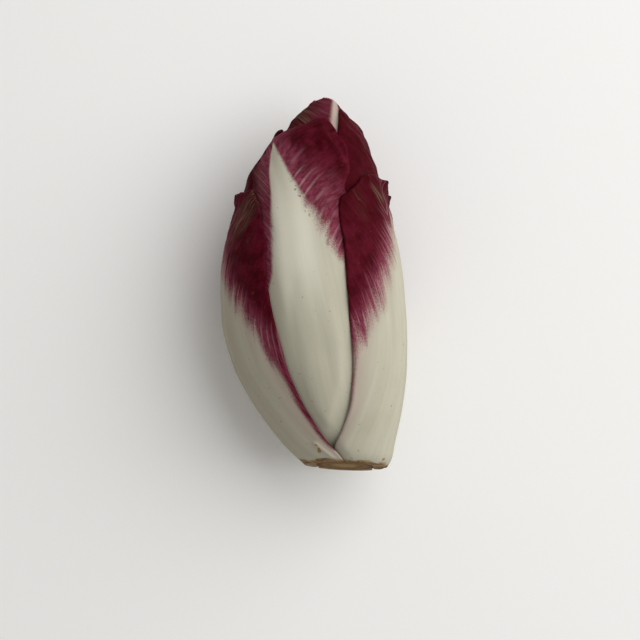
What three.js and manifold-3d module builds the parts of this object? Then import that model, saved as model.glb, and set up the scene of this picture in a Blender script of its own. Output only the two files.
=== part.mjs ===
// A head of red Belgian endive (a chicon): a tight bud of fleshy leaves round a short stem, cut off level
// with the base of its outer leaves and lying on its side. Units are millimetres, +Z is up, the cut end is
// at -Y, the tip at +Y.
//
// A place in the head is an angle round its axis in degrees (0 faces up, rising towards +X), a height along
// its outside from the cut, and a depth from the outside towards the core. Leaves are laid from the outside
// inwards, each at the depth that the leaves before it leave free, so that they nest as they do on the plant
// and none crosses another.
import * as THREE from "three";
import { mergeVertices } from "three/addons/utils/BufferGeometryUtils.js";
import Module from "manifold-3d";

const LENGTH = 130; // from the cut to the tip
const DOME_SHARE = 0.2; // the share of the outside's height that turns in to close the tip
const THICKNESS_SHARE = 0.86; // the head's thickness as a share of its width
const CORE_START = 80; // where the rays to the core begin to fan out
const CUT_OFFSET = 1.4; // how far the middle of the cut lies above the lowest point of its rim
const CUT_SLOPE = 0.17; // the cut leans, so that it faces a little up
const CUT_SLANT = -0.043; // it also runs a little askew, lower on the right
const CUT_FADE = 12; // the height over which the lean dies out
const LIFT = 26.6; // the axis above the table
const LEAF_GAP = 0.5; // between a leaf and the one under it
const STEM_GAP = 0.35; // between a leaf's foot and the stem
const LEAST_THICKNESS = 0.62; // of any leaf, at its thinnest
const BARE_DEPTH = 0.7; // a leaf deeper than this is covered by others
const EDGE_TAPER = 0.25; // the share of a half leaf over which it thins towards its side edge
const TOP_TAPER = 20; // the height over which a leaf thins towards its upper edge
const TOP_SHARE = 0.55; // the upper edge's thickness, as a share of the leaf's
const FLARE_REACH = 7; // how far below the upper edge its flare begins
const FOOT_FLESH = 0.8; // how much thicker the blade is at its foot, as a share of itself
const RIB_NARROWING = 0.72; // the share of its width that the midrib loses up to the leaf's upper edge
const RIB_THINNING = 0.7; // the share of its thickness that it loses
const RIB_ROUNDING = 2.2; // the larger, the squarer the midrib's section
const SWELL = { reach: 1.15, narrowing: 0.7, fading: 0.5 }; // the midrib's swelling, in the same shares
const RIPPLE = { pace: 0.33, share: 0.6, reach: 8 }; // the waves of the side edges
const CROWDING_TURN = 0.4 * Math.PI; // the larger, the closer a leaf's faces stand towards its sides
const CURL_REACH = 3.5; // how far below the upper edge its curl begins
const SHIFT = { x: -0.08, y: 0.13 }; // brings the middle of the head's box over the origin

// The axis's sideways place and the head's half width, by distance from the cut.
const CENTRE = [
  [0, 10.9], [3, 10.4], [9, 8.6], [23, 4.9], [38, 1.9], [52, 0.1], [65, -0.6],
  [76, -0.9], [96, -0.4], [104, 0.1], [116, 2.0], [126, 3.1], [130, 3.8],
];
const HALF_WIDTH = [
  [0, 13.9], [3, 15.9], [9, 18.9], [23, 25.5], [38, 30.1], [52, 31.8], [65, 31.5],
  [76, 30.4], [87, 28.2], [96, 25.6], [104, 22.4], [110, 19.2],
  [116, 15.8], [121, 11.6], [126, 7.0], [130, 0.0],
];

// The stem's radius, by height: a cone that the leaves stand on, and the closed bud of its growing tip.
const STEM_RADIUS = [
  [0, 9.8], [12, 9.0], [25, 7.6], [40, 6.6], [60, 7.0], [80, 6.2], [96, 4.0], [106, 1.2], [109, 0.0],
];
const STEM_TOP = 109;

const radians = THREE.MathUtils.degToRad;

// A smooth curve through stations, without overshoot: each span is a cubic whose end slopes are the harmonic
// mean of the slopes of the chords on both sides, and zero at a turning point.
function through(stations, at) {
  const last = stations.length - 1;
  const held = THREE.MathUtils.clamp(at, stations[0][0], stations[last][0]);
  let i = 0;
  while (i < last - 1 && held >= stations[i + 1][0]) i++;
  const chord = (k) => (stations[k + 1][1] - stations[k][1]) / (stations[k + 1][0] - stations[k][0]);
  const slope = (k) => {
    if (k === 0) return chord(0);
    if (k === last) return chord(last - 1);
    const before = chord(k - 1);
    const after = chord(k);
    return before * after <= 0 ? 0 : (2 * before * after) / (before + after);
  };
  const span = stations[i + 1][0] - stations[i][0];
  const t = (held - stations[i][0]) / span;
  return (
    stations[i][1] * (1 + 2 * t) * (1 - t) ** 2 +
    slope(i) * span * t * (1 - t) ** 2 +
    stations[i + 1][1] * t ** 2 * (3 - 2 * t) -
    slope(i + 1) * span * t ** 2 * (1 - t)
  );
}

function ease(t) {
  const held = THREE.MathUtils.clamp(t, 0, 1);
  return held * held * (3 - 2 * held);
}

// The head's outside, and the rays that run from it to the core.
const FULL_HEIGHT = (2 * LENGTH) / (2 - DOME_SHARE);
const DOME_HEIGHT = (1 - DOME_SHARE) * FULL_HEIGHT;
const DOME_BEND = 1 / (2 * DOME_SHARE * FULL_HEIGHT);

function alongAxis(height) {
  return height <= DOME_HEIGHT ? height : LENGTH - DOME_BEND * (FULL_HEIGHT - height) ** 2;
}

function heightAt(along) {
  return along <= DOME_HEIGHT ? along : FULL_HEIGHT - Math.sqrt((LENGTH - along) / DOME_BEND);
}

const byHeight = (stations) => stations.map(([along, value]) => [heightAt(along), value]);
const centreByHeight = byHeight(CENTRE);
const widthByHeight = byHeight(HALF_WIDTH);
const radiusAt = (height) => through(widthByHeight, height);

// The vector from the outside to the core line. Near the tip the core falls behind, so that rays fan out.
function inwardRay(angle, height) {
  const wide = radiusAt(height);
  const beyond = Math.max(alongAxis(height) - CORE_START, 0);
  return new THREE.Vector3(
    -wide * Math.sin(radians(angle)),
    -(beyond ** 2) / (2 * (LENGTH - CORE_START)),
    -wide * THICKNESS_SHARE * Math.cos(radians(angle)),
  );
}

function place(angle, height, depth) {
  const inward = inwardRay(angle, height);
  const reach = Math.max(inward.length(), 1e-6);
  const point = new THREE.Vector3(
    through(centreByHeight, height) - inward.x,
    alongAxis(height) - LENGTH / 2,
    -inward.z,
  );
  point.addScaledVector(inward, depth / reach);
  const lean = CUT_OFFSET + CUT_SLOPE * point.z + CUT_SLANT * (point.x - CENTRE[0][1]);
  point.y += lean * Math.max(1 - height / CUT_FADE, 0) ** 2;
  return point.add(new THREE.Vector3(SHIFT.x, SHIFT.y, LIFT));
}

// How much of the head is already taken, as a depth on a grid over angle and height.
class Crowding {
  constructor(columns = 360, rows = 241) {
    this.columns = columns;
    this.rows = rows;
    this.taken = new Float64Array(columns * rows);
    this.resting = new Float64Array(columns * rows);
  }

  angleOf(column) {
    return (column * 360) / this.columns - 180;
  }

  heightOf(row) {
    return (row * FULL_HEIGHT) / (this.rows - 1);
  }

  cell(column, row) {
    const held = THREE.MathUtils.clamp(row, 0, this.rows - 1);
    return ((column + this.columns) % this.columns) * this.rows + held;
  }

  // Each cell becomes a figure of the cells within reach of it along one axis.
  sweep(grid, reach, acrossAngle, figure) {
    const aside = acrossAngle ? 1 : 0;
    const out = new Float64Array(grid.length);
    const near = new Float64Array(2 * reach + 1);
    for (let column = 0; column < this.columns; column++)
      for (let row = 0; row < this.rows; row++) {
        for (let step = -reach; step <= reach; step++)
          near[step + reach] = grid[this.cell(column + step * aside, row + step * (1 - aside))];
        out[this.cell(column, row)] = figure(near);
      }
    return out;
  }

  // Spreads the field by a reach, then averages it twice over half of it: smooth, and nowhere shallower than
  // what is taken.
  settle(reach = 6) {
    const widest = (near) => near.reduce((a, b) => Math.max(a, b));
    const mean = (near) => near.reduce((a, b) => a + b) / near.length;
    let grid = this.taken;
    for (const acrossAngle of [true, false]) {
      grid = this.sweep(grid, reach, acrossAngle, widest);
      grid = this.sweep(grid, reach / 2, acrossAngle, mean);
      grid = this.sweep(grid, reach / 2, acrossAngle, mean);
    }
    this.resting = grid;
  }

  restAt(angle, height) {
    const across = ((((angle + 180) % 360) + 360) % 360) * (this.columns / 360);
    const along = THREE.MathUtils.clamp(height / FULL_HEIGHT, 0, 1) * (this.rows - 1);
    const column = Math.floor(across);
    const row = Math.min(Math.floor(along), this.rows - 2);
    const mix = THREE.MathUtils.lerp;
    const held = (c, r) => this.resting[this.cell(c, r)];
    const read = (c) => mix(held(c, row), held(c, row + 1), along - row);
    return mix(read(column), read(column + 1), across - column);
  }
}

// What every leaf shares unless its own plan says otherwise.
const LEAF_DEFAULTS = {
  foot: 0, // the height that the leaf starts at
  rib: 6.2, // thickness at the midrib's foot
  ribReach: 11, // half the midrib's width there
  blade: 1.4, // thickness of the blade
  edge: 0.5, // the side edge's thickness, as a share of the blade's
  bulge: 0.7, // how far the midrib swells out
  flare: 0.6, // how far the upper edge lifts
  curl: [[-1, 0], [1, 0]], // how far it also rolls out, by share across the leaf
  ruffle: 0.2, // how far the free edges wave
  ruffleTurns: 9, // half waves along the upper edge
  seed: 0, // shifts the waves
  across: 12, // faces across the leaf
  along: 16, // faces along it
};

// One leaf. Its plan holds, by height, the midrib's angle and the width of its left and right half in
// degrees, and as its crown the height of its upper edge, by share across it from -1 to 1.
class Leaf {
  constructor(plan, crowding) {
    this.plan = { ...LEAF_DEFAULTS, ...plan };
    this.crowding = crowding;
  }

  side(share, height) {
    return through(share < 0 ? this.plan.left : this.plan.right, height);
  }

  angle(share, height) {
    return through(this.plan.middle, height) + share * this.side(share, height);
  }

  shareAt(angle, height) {
    const away = ((((angle - through(this.plan.middle, height) + 180) % 360) + 360) % 360) - 180;
    return away / this.side(away, height);
  }

  top(share) {
    return through(this.plan.crown, share);
  }

  // How far up the leaf a place is, from 0 to 1.
  risen(share, height) {
    return THREE.MathUtils.clamp(height / this.top(share), 0, 1);
  }

  sideways(share, height) {
    return radians(share * this.side(share, height)) * radiusAt(height);
  }

  // A thin blade with a bell for the midrib, which narrows and thins upwards. It thins towards its free edges.
  thickness(share, height) {
    const { blade, rib, ribReach, edge } = this.plan;
    const risen = this.risen(share, height);
    const off = Math.abs(this.sideways(share, height)) / (ribReach * (1 - RIB_NARROWING * risen));
    const fleshy = blade * (1 + FOOT_FLESH * (1 - risen) ** 2);
    const bell = Math.exp(-(off ** RIB_ROUNDING));
    const thick = fleshy + (rib - blade) * (1 - RIB_THINNING * risen) * bell;
    const towardsSide = edge + (1 - edge) * ease((1 - Math.abs(share)) / EDGE_TAPER);
    const towardsTop = TOP_SHARE + (1 - TOP_SHARE) * ease((this.top(share) - height) / TOP_TAPER);
    return Math.max(thick * towardsSide * towardsTop, LEAST_THICKNESS);
  }

  // The outer face lies at the resting depth, and its midrib swells out of it. Where nothing covers the
  // leaf, its upper edge may flare and curl and its side edges wave.
  outerDepth(share, height, loose) {
    const { bulge, ribReach, flare, curl, ruffle, ruffleTurns, seed } = this.plan;
    const rest = this.crowding.restAt(this.angle(share, height), height);
    const bare = Math.exp(-((rest / BARE_DEPTH) ** 2));
    const risen = this.risen(share, height);
    const off = this.sideways(share, height) / (ribReach * (SWELL.reach - SWELL.narrowing * risen));
    let depth = rest - bulge * Math.exp(-(off ** 2)) * (1 - SWELL.fading * risen) * bare;
    if (loose) {
      const below = this.top(share) - height;
      const wave = Math.sin(ruffleTurns * share * Math.PI + seed);
      const ripple = Math.sin(RIPPLE.pace * height + 2 * seed + 3 * share);
      depth -= bare * ease(1 - below / FLARE_REACH) * (flare + ruffle * wave);
      depth -= bare * ease(1 - below / CURL_REACH) ** 2 * through(curl, share);
      depth -= bare * Math.abs(share) ** RIPPLE.reach * ruffle * RIPPLE.share * ripple;
    }
    return depth;
  }

  // Pushes the crowding in to this leaf's inner face, plus a gap.
  lay() {
    const { crowding } = this;
    const taken = crowding.taken.slice();
    for (let column = 0; column < crowding.columns; column++)
      for (let row = 0; row < crowding.rows; row++) {
        const height = crowding.heightOf(row);
        const share = this.shareAt(crowding.angleOf(column), height);
        if (Math.abs(share) > 1 || height > this.top(share)) continue;
        const inner = this.outerDepth(share, height, false) + this.thickness(share, height);
        const cell = crowding.cell(column, row);
        taken[cell] = Math.max(taken[cell], inner + LEAF_GAP);
      }
    crowding.taken = taken;
  }

  // The closed shell: the outer face, the inner face turned over, and the rim that joins them.
  geometry() {
    const { across, along, foot } = this.plan;
    const points = [];
    for (const inside of [false, true])
      for (let i = 0; i <= across; i++)
        for (let j = 0; j <= along; j++) {
          const share = Math.sin(CROWDING_TURN * ((2 * i) / across - 1)) / Math.sin(CROWDING_TURN);
          const height = foot + (this.top(share) - foot) * (j / along);
          const depth = this.outerDepth(share, height, true) + (inside ? this.thickness(share, height) : 0);
          points.push(place(this.angle(share, height), height, depth));
        }
    const face = (across + 1) * (along + 1);
    const at = (i, j) => i * (along + 1) + j;
    const faces = [];
    const quad = (a, b, c, d) => faces.push(a, b, c, a, c, d);
    for (let i = 0; i < across; i++)
      for (let j = 0; j < along; j++) {
        const corners = [at(i, j), at(i + 1, j), at(i + 1, j + 1), at(i, j + 1)];
        quad(...corners);
        quad(...corners.reverse().map((corner) => corner + face));
      }
    const rim = [];
    for (let i = 0; i < across; i++) rim.push(at(i, 0));
    for (let j = 0; j < along; j++) rim.push(at(across, j));
    for (let i = across; i > 0; i--) rim.push(at(i, along));
    for (let j = along; j > 0; j--) rim.push(at(0, j));
    rim.forEach((corner, k) => {
      const next = rim[(k + 1) % rim.length];
      quad(corner, corner + face, next + face, next);
    });
    return new THREE.BufferGeometry().setFromPoints(points).setIndex(faces);
  }
}

// The leaves that show, from the outermost inwards.
const SHOWN_LEAVES = [
  {
    name: "outer_leaf_left",
    middle: [[0, -78], [40, -85], [70, -83], [90, -70], [97, -65]],
    left: [[0, 50], [40, 66], [75, 62], [97, 42]],
    right: [
      [0, 76], [8, 71], [10.6, 68.6], [14.4, 65.8], [23, 63], [45, 61], [62, 55], [76, 50], [85, 37],
      [97, 19],
    ],
    crown: [[-1, 84], [-0.75, 91], [-0.57, 96.3], [-0.3, 96.6], [0, 96.5], [0.5, 97], [1, 92]],
    curl: [[-1, 0], [-0.75, 0.1], [-0.58, 1.5], [-0.4, 0.3], [0, 0], [1, 0]],
    edge: 0.38,
    seed: 0.4,
    across: 18,
  },
  {
    name: "outer_leaf_right",
    middle: [[0, 70], [40, 82], [70, 80], [90, 68], [103, 60]],
    left: [
      [0, 90], [5, 85], [7.4, 80.7], [11, 73.5], [13.7, 68.7], [18, 64], [24.8, 60.5], [38, 58.9],
      [49, 58.7], [67, 58], [81, 53], [92, 46], [101, 30], [104, 28],
    ],
    right: [[0, 54], [40, 66], [75, 62], [104, 40]],
    crown: [
      [-1, 94], [-0.5, 101.5], [0, 102.5], [0.3, 100.8], [0.45, 100.3], [0.58, 96.5], [0.72, 95.8],
      [0.85, 91], [1, 86],
    ],
    curl: [[-1, 0], [0, 0], [0.2, 0.5], [0.42, 1.4], [0.57, 0.4], [0.7, 1.8], [0.85, 0.3], [1, 0]],
    flare: 0.8,
    ruffle: 0.4,
    ruffleTurns: 5,
    seed: 1.7,
    across: 26,
  },
  {
    name: "outer_leaf_under",
    middle: [[0, 178], [70, 181], [110, 176]],
    left: [[0, 62], [45, 76], [85, 68], [110, 48]],
    right: [[0, 62], [45, 76], [85, 68], [110, 48]],
    crown: [[-1, 90], [-0.5, 105], [0, 109], [0.5, 106], [1, 93]],
    seed: 2.9,
  },
  {
    name: "front_leaf",
    middle: [[0, 0], [41, 0], [76, -9], [94, -18], [104, -32], [111, -50], [116, -68], [123, -72]],
    left: [[0, 36], [41, 60], [76, 60], [94, 45], [104, 36], [111, 27], [123, 22]],
    right: [
      [0, 42], [41, 68], [76, 74], [88, 58], [96, 48], [104, 67], [111, 83], [117, 99], [123, 103],
    ],
    crown: [
      [-1, 106], [-0.5, 112], [0, 116], [0.25, 118.6], [0.5, 121.5], [0.7, 122.9], [0.86, 120.5], [1, 112],
    ],
    rib: 6.8,
    ribReach: 12,
    bulge: 1.1,
    flare: 0.5,
    seed: 4.1,
    across: 18,
    along: 20,
  },
  {
    name: "second_leaf_left",
    middle: [[0, -128], [60, -124], [118, -112]],
    left: [[0, 50], [60, 78], [118, 50]],
    right: [[0, 40], [60, 70], [100, 60], [119, 31]],
    crown: [[-1, 98], [-0.5, 112], [0, 117.5], [0.6, 119.5], [1, 118]],
    seed: 5.2,
  },
  {
    name: "second_leaf_right",
    middle: [[0, 128], [60, 124], [117, 108]],
    left: [[0, 40], [60, 98], [96, 90], [117, 83]],
    right: [[0, 50], [60, 78], [117, 50]],
    crown: [
      [-1, 117], [-0.88, 123], [-0.75, 127], [-0.5, 130], [-0.32, 125], [-0.16, 119], [0, 117.5],
      [0.5, 111], [1, 98],
    ],
    curl: [[-1, 0], [-0.35, 0], [-0.18, 1.3], [0, 0.8], [0.3, 0], [1, 0]],
    flare: 0.2,
    ruffle: 0.1,
    seed: 6.3,
    across: 20,
    along: 20,
  },
  {
    name: "second_leaf_front",
    foot: 6,
    middle: [[0, 12], [60, 12], [115, 28], [140, 32]],
    left: [[0, 40], [60, 78], [110, 98], [128, 125], [143, 150]],
    right: [[0, 40], [60, 78], [110, 80], [128, 90], [143, 120]],
    crown: [
      [-1, 119], [-0.8, 129], [-0.55, 136], [-0.25, 140.5], [0, 142.5], [0.3, 140.5], [0.65, 137],
      [0.85, 131], [1, 114],
    ],
    rib: 5,
    flare: 0.2,
    ruffle: 0.1,
    seed: 7.7,
  },
  {
    name: "second_leaf_under",
    foot: 8,
    middle: [[0, 205], [60, 202], [130, 196]],
    left: [[0, 40], [60, 76], [110, 78], [139, 110]],
    right: [[0, 40], [60, 76], [110, 78], [139, 110]],
    crown: [[-1, 114], [-0.75, 133], [-0.5, 138], [0, 141], [0.5, 138], [0.75, 133], [1, 116]],
    flare: 0.1,
    ruffle: 0.1,
    seed: 8.8,
  },
];

// The hidden leaves follow each other up the stem, a golden angle on and a little shorter each time.
const INNER_COUNT = 6;
const INNER_FIRST_TURN = -80;
const GOLDEN_ANGLE = 137.5;
const INNER_FIRST_TIP = 138;
const INNER_TIP_STEP = 5;
const INNER_WRAP = 80;

function innerLeaf(i) {
  const turn = INNER_FIRST_TURN + GOLDEN_ANGLE * i;
  const tip = INNER_FIRST_TIP - INNER_TIP_STEP * i;
  const half = [[0, 0.55 * INNER_WRAP], [0.5 * tip, INNER_WRAP], [tip, 0.8 * INNER_WRAP]];
  return {
    name: `inner_leaf_${i + 1}`,
    foot: 12 + 3 * i,
    middle: [[0, turn], [tip, turn]],
    left: half,
    right: half,
    crown: [[-1, tip - 20], [-0.5, tip - 6], [0, tip], [0.5, tip - 6], [1, tip - 20]],
    rib: 4.6 - 0.3 * i,
    ribReach: 9,
    seed: 9 + 1.3 * i,
    across: 12,
    along: 14,
  };
}

const wasm = await Module();
wasm.setup();

function solidOf(geometry) {
  const bare = geometry.index ? geometry.toNonIndexed() : geometry.clone();
  for (const name of ["normal", "uv"]) bare.deleteAttribute(name);
  const merged = mergeVertices(bare, 1e-4);
  const mesh = new wasm.Mesh({
    numProp: 3,
    vertProperties: new Float32Array(merged.attributes.position.array),
    triVerts: new Uint32Array(merged.index.array),
  });
  return new wasm.Manifold(mesh);
}

function geometryOf(solid) {
  const mesh = solid.getMesh();
  const positions = new Float32Array(mesh.numVert * 3);
  for (let i = 0; i < mesh.numVert; i++)
    positions.set(mesh.vertProperties.subarray(i * mesh.numProp, i * mesh.numProp + 3), i * 3);
  return new THREE.BufferGeometry()
    .setAttribute("position", new THREE.BufferAttribute(positions, 3))
    .setIndex(new THREE.BufferAttribute(new Uint32Array(mesh.triVerts), 1));
}

// A body round the core line: rings at the given heights, closed by a point at the foot and one at the top.
function roundBody(radiusOf, heights, sides) {
  const ring = (height) =>
    Array.from({ length: sides }, (_, i) => {
      const angle = (360 * i) / sides;
      return place(angle, height, inwardRay(angle, height).length() - radiusOf(height));
    });
  const core = (height) => place(0, height, inwardRay(0, height).length());
  const points = [core(heights[0]), ...heights.flatMap(ring), core(heights[heights.length - 1])];
  const last = points.length - 1;
  const at = (i, j) => 1 + j * sides + (i % sides);
  const faces = [];
  for (let i = 0; i < sides; i++) {
    faces.push(0, at(i + 1, 0), at(i, 0));
    faces.push(last, at(i, heights.length - 1), at(i + 1, heights.length - 1));
    for (let j = 0; j < heights.length - 1; j++) {
      faces.push(at(i, j), at(i + 1, j), at(i + 1, j + 1));
      faces.push(at(i, j), at(i + 1, j + 1), at(i, j + 1));
    }
  }
  return new THREE.BufferGeometry().setFromPoints(points).setIndex(faces);
}

const STEM_SIDES = 24;
const STEM_STEP = 5;
const stemRadius = (height) => through(STEM_RADIUS, height);
const stemHeights = [];
for (let height = 0; height < STEM_TOP; height += STEM_STEP) stemHeights.push(height);
const stemGeometry = roundBody(stemRadius, stemHeights, STEM_SIDES);

// What each leaf is cut back by: the stem with a gap round it, and the space below the table.
const roomRadius = (height) => stemRadius(height) + STEM_GAP;
const stemRoom = solidOf(roundBody(roomRadius, [-STEM_STEP, ...stemHeights], STEM_SIDES));
const TABLE = { side: 200, depth: 50 };
const tableBox = new THREE.BoxGeometry(TABLE.side, TABLE.side, TABLE.depth);
const tableRoom = solidOf(tableBox.translate(0, 0, -TABLE.depth / 2));

function trimmed(geometry) {
  const bodies = solidOf(geometry).subtract(stemRoom).subtract(tableRoom).decompose();
  return geometryOf(bodies.reduce((a, b) => (a.volume() > b.volume() ? a : b)));
}

const flesh = new THREE.MeshStandardMaterial({ color: 0xc9c6ae, roughness: 0.45, metalness: 0 });
const blush = new THREE.MeshStandardMaterial({ color: 0x5c1c30, roughness: 0.5, metalness: 0 });
const cutFlesh = new THREE.MeshStandardMaterial({ color: 0xb9a67e, roughness: 0.8, metalness: 0 });

const head = new THREE.Group();
const crowding = new Crowding();
const innerLeaves = Array.from({ length: INNER_COUNT }, (_, i) => innerLeaf(i));
for (const plan of [...SHOWN_LEAVES, ...innerLeaves]) {
  crowding.settle();
  const leaf = new Leaf(plan, crowding);
  const material = plan.name.startsWith("second") ? blush : flesh;
  const mesh = new THREE.Mesh(trimmed(leaf.geometry()), material);
  mesh.name = plan.name;
  head.add(mesh);
  leaf.lay();
}
const stem = new THREE.Mesh(stemGeometry, cutFlesh);
stem.name = "stem_and_heart";
head.add(stem);

export default head;
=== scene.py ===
"""A head of red Belgian endive lying on a table, seen from above.

The head is a tight bud of fleshy leaves round a short stem. Every leaf is a
closed shell worked out on a grid of two parameters: across the leaf, and
along it from the cut to its tip. Leaves are laid from the outside inwards,
each under those before it, so that they nest as they do on the plant.
All working sizes are in millimetres and become metres as a mesh is made.
"""

import logging
from dataclasses import dataclass
from enum import Enum

import bpy
import numpy as np
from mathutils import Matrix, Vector

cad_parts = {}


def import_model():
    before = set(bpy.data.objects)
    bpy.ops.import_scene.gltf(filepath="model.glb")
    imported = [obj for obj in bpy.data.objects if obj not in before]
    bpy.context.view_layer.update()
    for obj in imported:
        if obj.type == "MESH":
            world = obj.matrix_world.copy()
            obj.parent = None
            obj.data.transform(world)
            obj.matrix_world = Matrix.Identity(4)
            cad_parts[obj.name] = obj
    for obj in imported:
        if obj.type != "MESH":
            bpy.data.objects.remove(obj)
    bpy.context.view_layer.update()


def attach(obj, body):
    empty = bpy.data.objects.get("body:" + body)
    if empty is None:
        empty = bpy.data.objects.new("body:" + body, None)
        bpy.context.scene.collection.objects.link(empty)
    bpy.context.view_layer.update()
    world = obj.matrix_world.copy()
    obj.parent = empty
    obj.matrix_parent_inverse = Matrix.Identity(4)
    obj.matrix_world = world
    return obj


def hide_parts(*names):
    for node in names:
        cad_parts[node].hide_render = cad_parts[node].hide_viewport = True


Array = np.ndarray
Stations = tuple[tuple[float, float], ...]
Socket = bpy.types.NodeSocket
Feed = Socket | float

METRES_PER_MM = 0.001
LOG = logging.getLogger("endive")

# Millimetres of the leaf laid flat to one unit of its UV map.
FLAT_SPAN = 150.0

# The fewest and most turns that a random wave makes to a wavelength, and the
# least reach of a ray in mm.
WAVE_PITCHES = (0.7, 1.5)
LEAST_REACH = 1e-6

# How the flesh thins: the rib's loss of width and height up the leaf, the
# power of its bell, the foot's extra flesh, and the tapers towards the side
# edges (a share of the half width) and the upper edge (mm and share left).
RIB_NARROWING = 0.72
RIB_THINNING = 0.7
RIB_ROUNDING = 2.2
FOOT_FLESH = 0.8
EDGE_TAPER = 0.25
TOP_TAPER = 20.0
TOP_SHARE = 0.55

# How the outer face lies: the cover in mm under which it stays flat, the
# swelling over the midrib, the reach of flare and curl below the upper edge
# in mm, and the ripples of the side edges.
BARE_DEPTH = 0.7
SWELL_REACH = 1.15
SWELL_NARROWING = 0.7
SWELL_FADING = 0.5
FLARE_REACH = 7.0
CURL_REACH = 3.5
RIPPLE_PITCH = 0.33
RIPPLE_LEAN = 3.0
RIPPLE_SHARE = 0.6
RIPPLE_POWER = 8

# Where the upper edge counts as rolled over, which darkens it with painted shade: the curl in mm
# at which it is fully so, and the reach below the edge in mm.
FULL_CURL = 1.5
ROLL_REACH = 4.0

# Fanned veins: their rise off the rib and its rounded square, their bend, and
# their spacing as a share of that along the rib.
FAN_RISE = 0.98
FAN_RISE_SQUARE = 0.96
FAN_BEND = 0.039
FAN_SHARE = 0.7

# Rounded free edges: the largest radius and least thickness in mm, and how
# the rows of points crowd there, in shares of the rim that they take.
EDGE_RADIUS = 0.9
LEAST_CORE = 0.4
SIDE_RIM = 0.016
TOP_RIM = 0.005
RIM_STEPS = (1.0, 0.62, 0.33, 0.13, 0.03, 0.0)

# The relief's changes: over how many mm it turns to that of the purple
# blade, how much the folds fade there, and how the crinkles fade downwards.
PURPLE_FADE = 8.0
FOLD_FADING = 0.6
CRINKLE_REACH = 45.0
CRINKLE_BELOW = 0.3

# The colours' changes: the shift that sets each leaf's veins apart, the least
# softness of the purple's edge in mm, the span of the tinted flesh outside
# it, the rosy band inside it, and how that band fades towards the foot.
VEIN_SHIFT = 40.0
LEAST_SOFTNESS = 0.3
TINT_REACH = 9.0
TINT_SPAN = 10.0
ROSY_EDGE = 0.7
ROSY_REACH = 11.0
ROSY_FOOT = 0.15
ROSY_START = 22.0
ROSY_RISE = 30.0
BLOTCH_SHARPNESS = 1.5


def through(stations: Stations, at: Array) -> Array:
    """Carry a smooth curve through a few stations, without overshoot.

    Each span is a cubic whose end slopes are the harmonic mean of the
    slopes of the chords on both sides, and zero at a turning point.

    Args:
        stations: Pairs of position and value, in rising order of position.
        at: Positions to read the curve at, held at its two ends.

    Returns:
        The curve's values, in the shape of at.
    """
    x, y = np.array(stations, float).T
    at = np.clip(at, x[0], x[-1])
    chord = np.diff(y) / np.diff(x)
    slope = np.concatenate([chord[:1], np.zeros(len(x) - 2), chord[-1:]])
    before, after = chord[:-1], chord[1:]
    turns = before * after <= 0
    total = np.where(turns, 1.0, before + after)
    slope[1:-1] = np.where(turns, 0.0, 2.0 * before * after / total)
    i = np.clip(np.searchsorted(x, at, side="right") - 1, 0, len(x) - 2)
    span = x[i + 1] - x[i]
    t = (at - x[i]) / span
    return (
        y[i] * (1 + 2 * t) * (1 - t) ** 2
        + slope[i] * span * t * (1 - t) ** 2
        + y[i + 1] * t**2 * (3 - 2 * t)
        - slope[i + 1] * span * t**2 * (1 - t)
    )


def ease(t: Array) -> Array:
    """Rise smoothly from 0 at t = 0 to 1 at t = 1, as 3t^2 - 2t^3."""
    t = np.clip(t, 0.0, 1.0)
    return t * t * (3 - 2 * t)


def ripples(x: Array, y: Array, seed: int, count: int = 9) -> Array:
    """A smooth random surface of about unit height and unit wavelength.

    It is a sum of plane waves whose directions, lengths and phases are
    drawn from the seed, divided by the root of half their number.

    Args:
        x: First coordinate, in wavelengths.
        y: Second coordinate, in wavelengths.
        seed: Picks the draw.
        count: Number of waves.

    Returns:
        The heights, in the shape of x.
    """
    draw = np.random.default_rng(seed)
    total = np.zeros(np.broadcast(x, y).shape)
    for _ in range(count):
        turn = draw.uniform(0, np.pi)
        pitch = draw.uniform(*WAVE_PITCHES)
        phase = draw.uniform(0, 2 * np.pi)
        across = x * np.cos(turn) + y * np.sin(turn)
        total += np.sin(2 * np.pi * pitch * across + phase)
    return total / np.sqrt(count / 2.0)


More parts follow.
